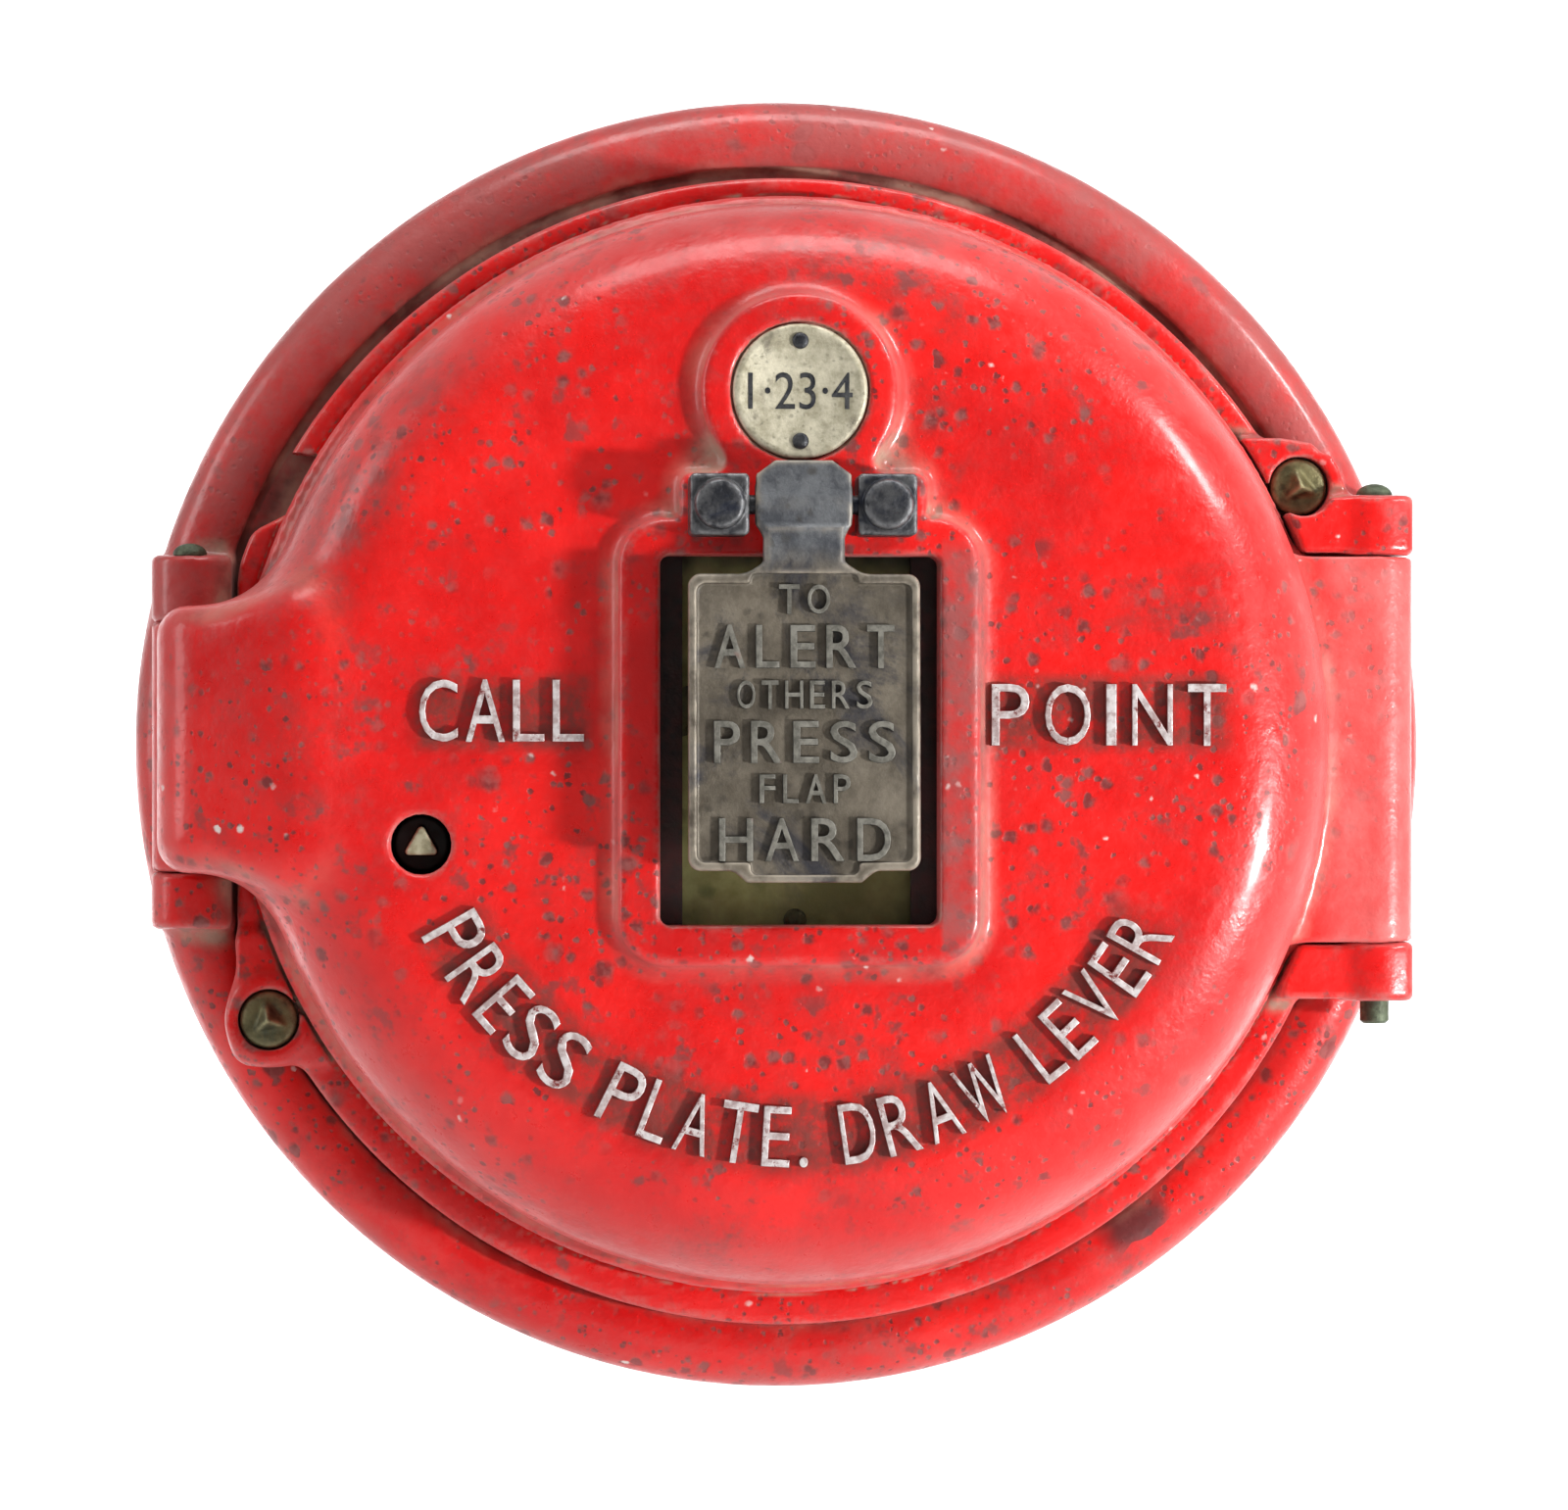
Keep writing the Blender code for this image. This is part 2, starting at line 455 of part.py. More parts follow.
# ---- Door ---------------------------------------------------------------------------------------
def make_door_cover():
    """A dome with a seating flange, a raised window frame, a disc boss, the lock's bump and the hinge knuckle."""
    outer = arc((FLAT_R, FACE_Y + SHOULDER_R), SHOULDER_R, 0, -90, 5)
    inner = arc((FLAT_R, FACE_Y + SHOULDER_R), SHOULDER_R - WALL, -90, 0, 4)
    profile = [(0, FACE_Y + WALL), *inner, (DOME_WALL_R - WALL, LIP_BACK_Y), (DOOR_LIP_R, LIP_BACK_Y),
               (DOOR_LIP_R, LIP_FRONT_Y + 1 * MM), (DOOR_LIP_R - 1 * MM, LIP_FRONT_Y), (DOME_WALL_R, LIP_FRONT_Y),
               *outer, (0, FACE_Y)]
    door = lathe("door_cover", profile, "red_paint", DOOR_SEGMENTS)

    bump = plate("hinge_boss", rounded(BOSS_X, BOSS_Z, 8 * MM, 4), FACE_Y + 0.4 * MM, BOSS_BACK_Y, "red_paint")
    slope = box("boss_slope", (-40 * MM, 40 * MM), (-40 * MM, 0), (-60 * MM, 60 * MM))
    slope.data.transform(Matrix.Translation((-105 * MM, FACE_Y + 0.4 * MM, 0)) @ Matrix.Rotation(math.radians(-26), 4, "Z"))
    combine(bump, "DIFFERENCE", slope)
    hollow = box("boss_hollow", (BOSS_X[0] + WALL, -90 * MM), (FACE_Y + 18 * MM, -66 * MM),
                 (BOSS_Z[0] + WALL, BOSS_Z[1] - WALL))
    knuckle = door_axis_piece("door_knuckle", *DOOR_KNUCKLE)
    web = box("door_web", (104 * MM, DOOR_AXIS[0] + 1.3 * MM), (DOOR_AXIS[1] - KNUCKLE_R + 0.2 * MM, LIP_BACK_Y - 0.25 * MM), DOOR_KNUCKLE)
    root = cylinder("door_inside", DOME_WALL_R - WALL / 2, -75 * MM, -40 * MM, "red_paint", DOOR_SEGMENTS)
    combine(web, "DIFFERENCE", root)
    combine(door, "UNION", bump, knuckle, web)
    combine(door, "DIFFERENCE", hollow)

    frame = plate("window_frame", rounded((-FRAME_X, FRAME_X), FRAME_Z, FRAME_CORNER_R), FRAME_Y, FACE_Y + 1 * MM, "red_paint")
    pad = plate("hinge_pad", rounded((-24.5 * MM, 26 * MM), (40 * MM, 55.5 * MM), 2 * MM, 2), FRAME_Y + 0.1 * MM,
                FACE_Y + 1.1 * MM, "red_paint")
    disc_boss = cylinder("disc_boss", DISC_BOSS_R, FRAME_Y + 0.2 * MM, FACE_Y + 1.2 * MM, "red_paint", 32, (0, 0, DISC_Z))
    lock_wall = cylinder("lock_seat", 9 * MM, FACE_Y + 1 * MM, FACE_Y + 8 * MM, "red_paint", 20, (KEY_X, 0, KEY_Z))
    combine(door, "UNION", frame, pad, disc_boss, lock_wall)

    opening = box("window_cutter", (-WINDOW_X, WINDOW_X), (-130 * MM, -80 * MM), WINDOW_Z)
    recess = cylinder("disc_recess", DISC_R + 0.35 * MM, -120 * MM, FRAME_Y + 1.6 * MM, "red_paint", 32, (0, 0, DISC_Z))
    keyhole = cylinder("keyhole", KEYHOLE_R, -120 * MM, -80 * MM, "red_paint", 20, (KEY_X, 0, KEY_Z))
    bore = door_axis_piece("door_bore", -70 * MM, 70 * MM, PIN_R + GAP, segments=18)
    combine(door, "DIFFERENCE", opening, recess, keyhole, bore)
    for side in (-1, 1):
        hole = cylinder(f"disc_pin_hole_{side}", 1.3 * MM, -120 * MM, FACE_Y + 2 * MM, "red_paint", 12,
                        (0, 0, DISC_Z + side * DISC_PIN))
        fixing = cylinder(f"block_hole_{side}", 2.3 * MM, -120 * MM, FACE_Y + 2.5 * MM, "red_paint", 12,
                          (side * sum(BLOCK_X) / 2, 0, FLAP_AXIS[1]))
        combine(door, "DIFFERENCE", hole, fixing)
    for sx in (-1, 1):
        for z in GUIDE_SCREW_Z:
            hole = cylinder(f"guide_tapping_{sx}_{z:.3f}", 1.3 * MM, FACE_Y + 1.2 * MM, -80 * MM, "red_paint", 12,
                            (sx * GUIDE_SCREW_X, 0, z))
            combine(door, "DIFFERENCE", hole)
    return door


def make_glass_guide(label, side):
    """A strip that laps over one edge of the glass, with a foot under the glass."""
    step = 31.2 * MM
    span = (WINDOW_Z[0] - 5 * MM, WINDOW_Z[1] + 2.5 * MM)
    strip = box(f"glass_guide_{label}", sorted((side * GUIDE_X, side * 36.5 * MM)), GUIDE_Y, span)
    rail = box(f"guide_rail_{label}", sorted((side * step, side * 36.4 * MM)), (GLASS_Y[0], GUIDE_Y[0] + 0.5 * MM),
               (span[0] + 0.1 * MM, span[1] - 0.1 * MM))
    foot = box(f"guide_foot_{label}", sorted((side * (GUIDE_X + 0.1 * MM), side * (step + 1 * MM))),
               (GLASS_Y[0] + 0.1 * MM, GUIDE_Y[0] + 0.6 * MM), (span[0] + 0.2 * MM, span[0] + 2.5 * MM))
    combine(strip, "UNION", rail, foot)
    for z in GUIDE_SCREW_Z:
        hole = cylinder(f"guide_hole_{label}_{z:.3f}", 1.3 * MM, -110 * MM, -80 * MM, "red_paint", 12,
                        (side * GUIDE_SCREW_X, 0, z))
        combine(strip, "DIFFERENCE", hole)
    return strip


def make_door():
    pieces = [make_door_cover()]
    glass_x = 30.8 * MM
    pieces.append(box("glass_pane", (-glass_x, glass_x), GLASS_Y, (WINDOW_Z[0] - 2 * MM, WINDOW_Z[1] + 2 * MM), "clear_glass"))
    for label, side in (("left", -1), ("right", 1)):
        pieces.append(make_glass_guide(label, side))
        for place, z in zip(("lower", "upper"), GUIDE_SCREW_Z):
            head = GUIDE_Y[1] + GAP
            profile = [(0, FACE_Y + 1.6 * MM), (1 * MM, FACE_Y + 1.6 * MM), (1 * MM, head), (2.1 * MM, head),
                       (1.7 * MM, head + 0.9 * MM), (0, head + 1.1 * MM)]
            pieces.append(lathe(f"guide_screw_{label}_{place}", profile, "steel", 10, (side * GUIDE_SCREW_X, 0, z)))
    disc_y = FRAME_Y + 1.6 * MM - GAP
    disc = lathe("number_disc", [(0, disc_y - 1.6 * MM), (DISC_R - 0.5 * MM, disc_y - 1.6 * MM),
                                 (DISC_R, disc_y - 1.1 * MM), (DISC_R, disc_y), (0, disc_y)], "nickel", 32, (0, 0, DISC_Z))
    for label, side in (("upper", 1), ("lower", -1)):
        z = DISC_Z + side * DISC_PIN
        hole = cylinder(f"disc_hole_{label}", 1.3 * MM, -120 * MM, -100 * MM, "nickel", 12, (0, 0, z))
        combine(disc, "DIFFERENCE", hole)
        pieces.append(turned_screw(f"disc_pin_{label}", (0, z), disc_y - 1.6 * MM - GAP, 1.75 * MM, 0.6 * MM, 1.0 * MM,
                                   4.6 * MM, "dark_bronze", 12))
    pieces.append(disc)
    for label, side in (("left", -1), ("right", 1)):
        x = sorted((side * BLOCK_X[0], side * BLOCK_X[1]))
        z = (FLAP_AXIS[1] - BLOCK_HALF, FLAP_AXIS[1] + BLOCK_HALF)
        block = bevel_edges(box(f"hinge_block_{label}", x, (FRAME_Y - GAP, BLOCK_FRONT_Y), z, "dark_bronze"), 0.5 * MM)
        middle = (sum(x) / 2, FLAP_AXIS[1])
        stud = cylinder(f"block_stud_{label}", 5 * MM, -119 * MM, BLOCK_FRONT_Y + 2 * MM, "dark_bronze", 20,
                        (middle[0], 0, middle[1]))
        tail = cylinder(f"block_tail_{label}", 2 * MM, FRAME_Y - 2 * MM, FACE_Y + 2 * MM, "dark_bronze", 12,
                        (middle[0], 0, middle[1]))
        socket = flap_axis_piece(f"pin_socket_{label}", -BLOCK_X[1] + 3 * MM, BLOCK_X[1] - 3 * MM, 2.0 * MM + GAP)
        combine(block, "UNION", stud, tail)
        pieces.append(combine(block, "DIFFERENCE", socket))
    half = BLOCK_X[1] - 3.4 * MM
    pieces.append(flap_axis_piece("flap_pin", -half, half, 2.0 * MM))
    housing = [(KEYHOLE_R + 0.8 * MM, FACE_Y + 8.3 * MM), (10 * MM, FACE_Y + 8.3 * MM), (10 * MM, -72 * MM),
               (4.4 * MM, -72 * MM), (4.4 * MM, -77 * MM), (KEYHOLE_R + 0.8 * MM, -77 * MM)]
    pieces.append(lathe("lock_housing", housing, "aged_brass", 20, (KEY_X, 0, KEY_Z)))
    return pieces


def flap_axis_piece(name, low, high, radius, finish="dark_bronze", segments=16):
    """A cylinder along X, on the flap's hinge line."""
    obj = cylinder(name, radius, low, high, finish, segments, about="Z")
    obj.data.transform(Matrix.Rotation(math.radians(90), 4, "Y"))
    obj.location = (0, *FLAP_AXIS)
    return obj


def leaned(obj):
    """Turns a piece modelled upright about the flap's hinge line, by the flap's lean."""
    hinge = Vector((0, *FLAP_AXIS))
    turn = Matrix.Rotation(math.radians(-FLAP_LEAN), 4, "X")
    obj.data.transform(Matrix.Translation(hinge) @ turn @ Matrix.Translation(-hinge))
    return obj


def make_flap():
    """A cast plate with a raised border, hung by a neck that wraps the hinge pin."""
    tab_x, tab_z = 11.6 * MM, FLAP_Z[0] - 2.3 * MM
    flare_x, flare_z = 10.6 * MM, FLAP_Z[1] + 2.3 * MM
    half_neck = 7.9 * MM
    corner = 2.2 * MM

    def side(sign):
        bottom = arc((sign * (FLAP_X - corner), FLAP_Z[0] + corner), corner, -90, -90 + sign * 90, 4)
        top = [(sign * FLAP_X, FLAP_Z[1] - 1.6 * MM), (sign * (FLAP_X - 1.6 * MM), FLAP_Z[1])]
        return [(sign * tab_x, tab_z), (sign * (tab_x + 1.6 * MM), FLAP_Z[0]), *bottom, *top,
                (sign * flare_x, FLAP_Z[1]), (sign * half_neck, flare_z)]

    outline = side(1) + list(reversed(side(-1)))
    front, back = FLAP_FRONT_Y, FLAP_FRONT_Y + 3.4 * MM
    flap = leaned(plate("striker_flap", outline, front, back, "dark_bronze"))
    border = 1.7 * MM
    inset = rounded((-FLAP_X + border, FLAP_X - border), (FLAP_Z[0] + border, FLAP_Z[1] - border), 1.5 * MM, 3)
    combine(flap, "DIFFERENCE", leaned(plate("flap_field", inset, front - 2 * MM, front + 0.9 * MM, "dark_bronze")))
    strap = [(half_neck, flare_z - 1.5 * MM), (half_neck, 42.5 * MM), (NECK_X, 45 * MM), (NECK_X, 54.7 * MM),
             (NECK_X - 4 * MM, 57.7 * MM)]
    neck = leaned(plate("flap_neck", strap + [(-x, z) for x, z in reversed(strap)], FLAP_FRONT_Y + 0.3 * MM,
                        FLAP_AXIS[0] + 0.2 * MM, "dark_bronze"))
    barrel = flap_axis_piece("flap_barrel", -NECK_X + 0.1 * MM, NECK_X - 0.1 * MM, 4.0 * MM, segments=20)
    combine(flap, "UNION", neck, barrel)
    return [combine(flap, "DIFFERENCE", flap_axis_piece("flap_bore", -15 * MM, 15 * MM, 2.0 * MM + GAP))]


def make_lock():
    """The three-cornered key spindle with its tongue, shown withdrawn."""
    spindle_end = -49 * MM
    spindle = lathe("key_spindle", [(0, -91.5 * MM), (5.8 * MM, -91.5 * MM), (5.8 * MM, -77.5 * MM), (4.0 * MM, -77.5 * MM),
                                    (4.0 * MM, -56 * MM), (2.8 * MM, -56 * MM), (2.8 * MM, spindle_end),
                                    (0, spindle_end)], "aged_brass", 20, (KEY_X, 0, KEY_Z))
    key = plate("key_triangle", triangle(7.95 * MM), -99 * MM, -91 * MM, "aged_brass")
    key.location = (KEY_X, 0, KEY_Z)
    combine(spindle, "UNION", key)
    outward = math.degrees(math.atan2(KEY_Z, KEY_X))
    tongue_outline = arc((0, 0), 7 * MM, 60, 300, 8) + arc((17 * MM, 0), 4 * MM, -90, 90, 5)
    tongue = plate("lock_tongue", tongue_outline, -54.4 * MM, -51.8 * MM, "steel")
    tongue.data.transform(Matrix.Translation((KEY_X, 0, KEY_Z)) @ Matrix.Rotation(math.radians(90 - outward), 4, "Y"))
    hole = cylinder("tongue_hole", 3.1 * MM, -60 * MM, -45 * MM, "steel", 16, (KEY_X, 0, KEY_Z))
    combine(tongue, "DIFFERENCE", hole)
    hexagon = arc((KEY_X, KEY_Z), 5.2 * MM, 0, 300, 5)
    nut = plate("tongue_nut", hexagon, -51.5 * MM, -49.4 * MM, "steel")
    nut_hole = cylinder("nut_hole", 3.1 * MM, -60 * MM, -45 * MM, "steel", 16, (KEY_X, 0, KEY_Z))
    return [spindle, tongue, combine(nut, "DIFFERENCE", nut_hole)]


# ---- Movement's turning parts -------------------------------------------------------------------
def make_lever():
    """The pull lever, its arbor, the toothed sector and the spring barrel that turn with it."""
    arm_angle = 18
    reach = 42 * MM
    arm_outline = arc((0, 0), 6 * MM, 50, 310, 8) + arc((reach, 0), 5.2 * MM, -90, 90, 6)
    lever = plate("pull_lever", arm_outline, *ARM_Y, "aged_brass")
    grip = box("lever_grip", (reach - 2.2 * MM, reach + 2.2 * MM), (ARM_Y[0] - 1.2 * MM, ARM_Y[0] + 0.5 * MM),
               (-7.4 * MM, 7.4 * MM), "aged_brass")
    combine(lever, "UNION", bevel_edges(grip, 0.5 * MM))
    lever.data.transform(Matrix.Rotation(math.radians(-arm_angle), 4, "Y"))
    grip.data.transform(Matrix.Rotation(math.radians(-arm_angle), 4, "Y"))
    for obj in (lever, grip):
        obj.location = (LEVER_XZ[0], 0, 0)
    arbor_r = 2.5 * MM
    combine(lever, "DIFFERENCE", cylinder("lever_bore", arbor_r + GAP, -99 * MM, -80 * MM, "steel", 14,
                                          (LEVER_XZ[0], 0, 0)))
    arbor = cylinder("lever_arbor", arbor_r, ARM_Y[0], REAR_PLATE_Y[1], "steel", 14, (LEVER_XZ[0], 0, 0))
    sector_y = (FRONT_PLATE_Y[1] + 1.5 * MM, FRONT_PLATE_Y[1] + 4.0 * MM)
    teeth = gear_outline(SECTOR_TEETH, MODULE, first=-2, last=9)
    hub = arc((0, 0), 6.5 * MM, 110, 300, 8)
    sector = plate("sector_gear", shifted(teeth + hub, LEVER_XZ[0]), *sector_y, "aged_brass")
    drum_y = (-71 * MM, -60 * MM)
    drum_wall = 1.4 * MM
    drum_r = 14 * MM
    drum = [(arbor_r + GAP, drum_y[0]), (drum_r, drum_y[0]), (drum_r, drum_y[1]), (drum_r - drum_wall, drum_y[1]),
            (drum_r - drum_wall, drum_y[0] + drum_wall), (arbor_r + GAP, drum_y[0] + drum_wall)]
    barrel = lathe("spring_barrel", drum, "aged_brass", 24, (LEVER_XZ[0], 0, 0))
    steps_per_turn, turns, strip = 14, 3, 0.7 * MM
    start_r, end_r = 4.2 * MM, 11.4 * MM
    count = steps_per_turn * turns
    line = [(start_r + (end_r - start_r) * i / count, math.tau * i / steps_per_turn) for i in range(count + 1)]
    coil = [(r * math.cos(a), r * math.sin(a)) for r, a in line]
    coil += [((r + strip) * math.cos(a), (r + strip) * math.sin(a)) for r, a in reversed(line)]
    spring = plate("mainspring", shifted(coil, LEVER_XZ[0]), drum_y[0] + drum_wall + 0.4 * MM, drum_y[1] - 0.4 * MM,
                   "steel")
    for body in (sector,):
        combine(body, "DIFFERENCE", cylinder(f"{body.name}_bore", arbor_r + GAP, -99 * MM, -55 * MM, "steel", 14,
                                             (LEVER_XZ[0], 0, 0)))
    return [lever, arbor, sector, barrel, spring]


def make_code_train():
    """The coded contact wheel, its arbor with the pinion that the sector drives, and the gear to the governor."""
    arbor_r = 2.0 * MM
    arbor = cylinder("code_arbor", arbor_r, FRONT_PLATE_Y[0], REAR_PLATE_Y[1], "steel", 14, (CODE_X, 0, 0))
    half_tooth = math.pi / PINION_TEETH
    pinion = plate("code_pinion", shifted(gear_outline(PINION_TEETH, MODULE, half_tooth), CODE_X),
                   FRONT_PLATE_Y[1] + 1.0 * MM, FRONT_PLATE_Y[1] + 4.5 * MM, "steel")
    combine(arbor, "UNION", pinion)
    gear = plate("code_gear", shifted(gear_outline(CODE_GEAR_TEETH, FLY_MODULE), CODE_X), -81 * MM, -79.2 * MM,
                 "aged_brass")
    notches = []
    rim_r, notch_r, count = 16.5 * MM, 14.6 * MM, 18
    cut = (2, 5, 6, 9, 12, 13, 14)
    for k in range(count):
        radius = notch_r if k in cut else rim_r
        notches += arc((CODE_X, 0), radius, k * 360 / count, (k + 0.96) * 360 / count, 2)
    wheel = plate("code_wheel", notches, -76.2 * MM, -73.6 * MM, "nickel")
    for body in (gear, wheel):
        combine(body, "DIFFERENCE", cylinder(f"{body.name}_bore", arbor_r + GAP, -99 * MM, -55 * MM, "steel", 14,
                                             (CODE_X, 0, 0)))
    return [arbor, gear, wheel]


def make_governor():
    """The air-brake fly that slows the code wheel, and its pinion arbor."""
    arbor = cylinder("fly_arbor", 1.5 * MM, FRONT_PLATE_Y[0], REAR_PLATE_Y[1], "steel", 12, (FLY_X, 0, 0))
    phase = math.pi + math.pi / FLY_TEETH
    pinion = plate("fly_pinion", shifted(gear_outline(FLY_TEETH, FLY_MODULE, phase), FLY_X), -81.6 * MM, -78.6 * MM,
                   "steel")
    combine(arbor, "UNION", pinion)
    vane = box("fly_vane", (FLY_X - 11 * MM, FLY_X + 11 * MM), (-72 * MM, -61 * MM), (-0.5 * MM, 0.5 * MM), "aged_brass")
    hub = cylinder("fly_hub", 3 * MM, -72 * MM, -61 * MM, "aged_brass", 14, (FLY_X, 0, 0))
    combine(vane, "UNION", hub)
    combine(vane, "DIFFERENCE", cylinder("fly_bore", 1.5 * MM + GAP, -90 * MM, -50 * MM, "steel", 12, (FLY_X, 0, 0)))
    return [arbor, vane]


# ---- Assembly -----------------------------------------------------------------------------------
def body_empty(name, location, parent=None):
    """An empty on a joint's axis, which carries that body's pieces."""
    empty = bpy.data.objects.new(name, None)
    empty.empty_display_size = 10 * MM
    bpy.context.scene.collection.objects.link(empty)
    empty.location = location
    bpy.context.view_layer.update()
    if parent:
        attach(empty, parent)
    return empty


def attach(obj, empty):
    """Parents obj to empty and leaves it where it is."""
    bpy.context.view_layer.update()
    obj.parent = empty
    obj.matrix_parent_inverse = empty.matrix_world.inverted()


def main():
    for obj in list(bpy.data.objects):
        bpy.data.objects.remove(obj)
    case = body_empty("case_body", (0, 0, 0))
    frame = body_empty("frame_body", (*FRAME_AXIS, 0), case)
    door = body_empty("door_body", (*DOOR_AXIS, 0), frame)
    bodies = (
        (case, make_case),
        (frame, make_frame),
        (door, make_door),
        (body_empty("flap_body", (0, *FLAP_AXIS), door), make_flap),
        (body_empty("lock_body", (KEY_X, -75 * MM, KEY_Z), door), make_lock),
        (body_empty("lever_body", (LEVER_XZ[0], -75 * MM, 0), frame), make_lever),
        (body_empty("code_body", (CODE_X, -75 * MM, 0), frame), make_code_train),
        (body_empty("governor_body", (FLY_X, -75 * MM, 0), frame), make_governor),
    )
    for empty, build in bodies:
        for piece in build():
            attach(piece, empty)


main()
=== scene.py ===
import math

import bmesh
import bpy
import numpy as np
from mathutils import Matrix, Vector


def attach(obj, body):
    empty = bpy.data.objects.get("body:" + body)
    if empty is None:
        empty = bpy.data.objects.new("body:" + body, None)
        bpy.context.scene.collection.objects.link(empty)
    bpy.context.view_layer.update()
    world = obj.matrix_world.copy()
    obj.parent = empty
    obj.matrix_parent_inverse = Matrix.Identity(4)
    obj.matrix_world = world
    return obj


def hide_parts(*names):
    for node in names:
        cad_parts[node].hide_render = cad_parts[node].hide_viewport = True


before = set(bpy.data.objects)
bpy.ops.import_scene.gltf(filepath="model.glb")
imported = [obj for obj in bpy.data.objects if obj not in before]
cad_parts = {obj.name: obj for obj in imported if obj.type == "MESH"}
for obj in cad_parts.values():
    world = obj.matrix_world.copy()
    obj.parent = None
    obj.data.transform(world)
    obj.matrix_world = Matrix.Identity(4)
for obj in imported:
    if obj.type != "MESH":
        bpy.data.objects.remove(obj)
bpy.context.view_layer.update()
MM = 0.001

# ------------------------------------------------------------------------------------------------
# Signed distances, in millimetres, on arrays of points
# ------------------------------------------------------------------------------------------------


def box2(u, v, half_u, half_v, r=0.0):
    """A rectangle about the origin, with corners rounded by r."""
    qu, qv = np.abs(u) - half_u + r, np.abs(v) - half_v + r
    return np.hypot(np.maximum(qu, 0), np.maximum(qv, 0)) + np.minimum(np.maximum(qu, qv), 0) - r


def span2(u, v, u0, u1, v0, v1, r=0.0):
    """A rectangle from (u0, v0) to (u1, v1), with corners rounded by r."""
    return box2(u - (u0 + u1) / 2, v - (v0 + v1) / 2, abs(u1 - u0) / 2, abs(v1 - v0) / 2, r)


def extrude(d, t, t0, t1, r=0.0):
    """A 2-D distance d given thickness from t0 to t1, with its rims rounded by r."""
    w = np.abs(t - (t0 + t1) / 2) - abs(t1 - t0) / 2 + r
    d = d + r
    return np.minimum(np.maximum(d, w), 0) + np.hypot(np.maximum(d, 0), np.maximum(w, 0)) - r


def join(a, b, k=0.0):
    """The union, blended over k. cut and meet are the difference and the intersection."""
    if k <= 0:
        return np.minimum(a, b)
    h = np.maximum(k - np.abs(a - b), 0) / k
    return np.minimum(a, b) - h * h * k / 4


def cut(a, b, k=0.0):
    return -join(-a, b, k)


def meet(a, b, k=0.0):
    return -join(-a, -b, k)


def cyl_z(x, y, z, cx, cy, radius, z0, z1, r=0.6):
    return extrude(np.hypot(x - cx, y - cy) - radius, z, z0, z1, r)


def cyl_y(x, y, z, cx, cz, radius, y0, y1, r=0.6):
    return extrude(np.hypot(x - cx, z - cz) - radius, y, y0, y1, r)


def poly2(u, v, points):
    """Signed distance to a closed outline of (u, v) points."""
    pts = np.asarray(points, float)
    d = np.full(np.shape(u), 1e9)
    inside = np.zeros(np.shape(u), bool)
    for (au, av), (bu, bv) in zip(pts, np.roll(pts, -1, axis=0)):
        eu, ev = bu - au, bv - av
        t = np.clip(((u - au) * eu + (v - av) * ev) / (eu * eu + ev * ev), 0, 1)
        d = np.minimum(d, np.hypot(u - au - t * eu, v - av - t * ev))
        crosses = (av > v) != (bv > v)
        with np.errstate(divide="ignore", invalid="ignore"):
            at = au + (v - av) * eu / (ev if ev else 1e-12)
        inside ^= crosses & (u < at)
    return np.where(inside, -d, d)


# ------------------------------------------------------------------------------------------------
# Surface nets: a smooth quad mesh from a signed distance
# ------------------------------------------------------------------------------------------------


def axis_steps(low, high, coarse, fine_spans=(), fine=None):
    """Grid stops from low to high: coarse steps, with fine ones inside the spans."""
    stops, at = [low], low
    while at < high:
        inside = any(a - coarse <= at <= b for a, b in fine_spans)
        at += fine if inside else coarse
        stops.append(at)
    return np.array(stops)


GRADIENT_STEP = 0.05


def gradient(f, p):
    """The slope of the distance f at the points p."""
    g = np.empty_like(p)
    for k in range(3):
        d = np.zeros(3)
        d[k] = GRADIENT_STEP
        g[:, k] = f(*(p + d).T) - f(*(p - d).T)
    return g / (2 * GRADIENT_STEP)


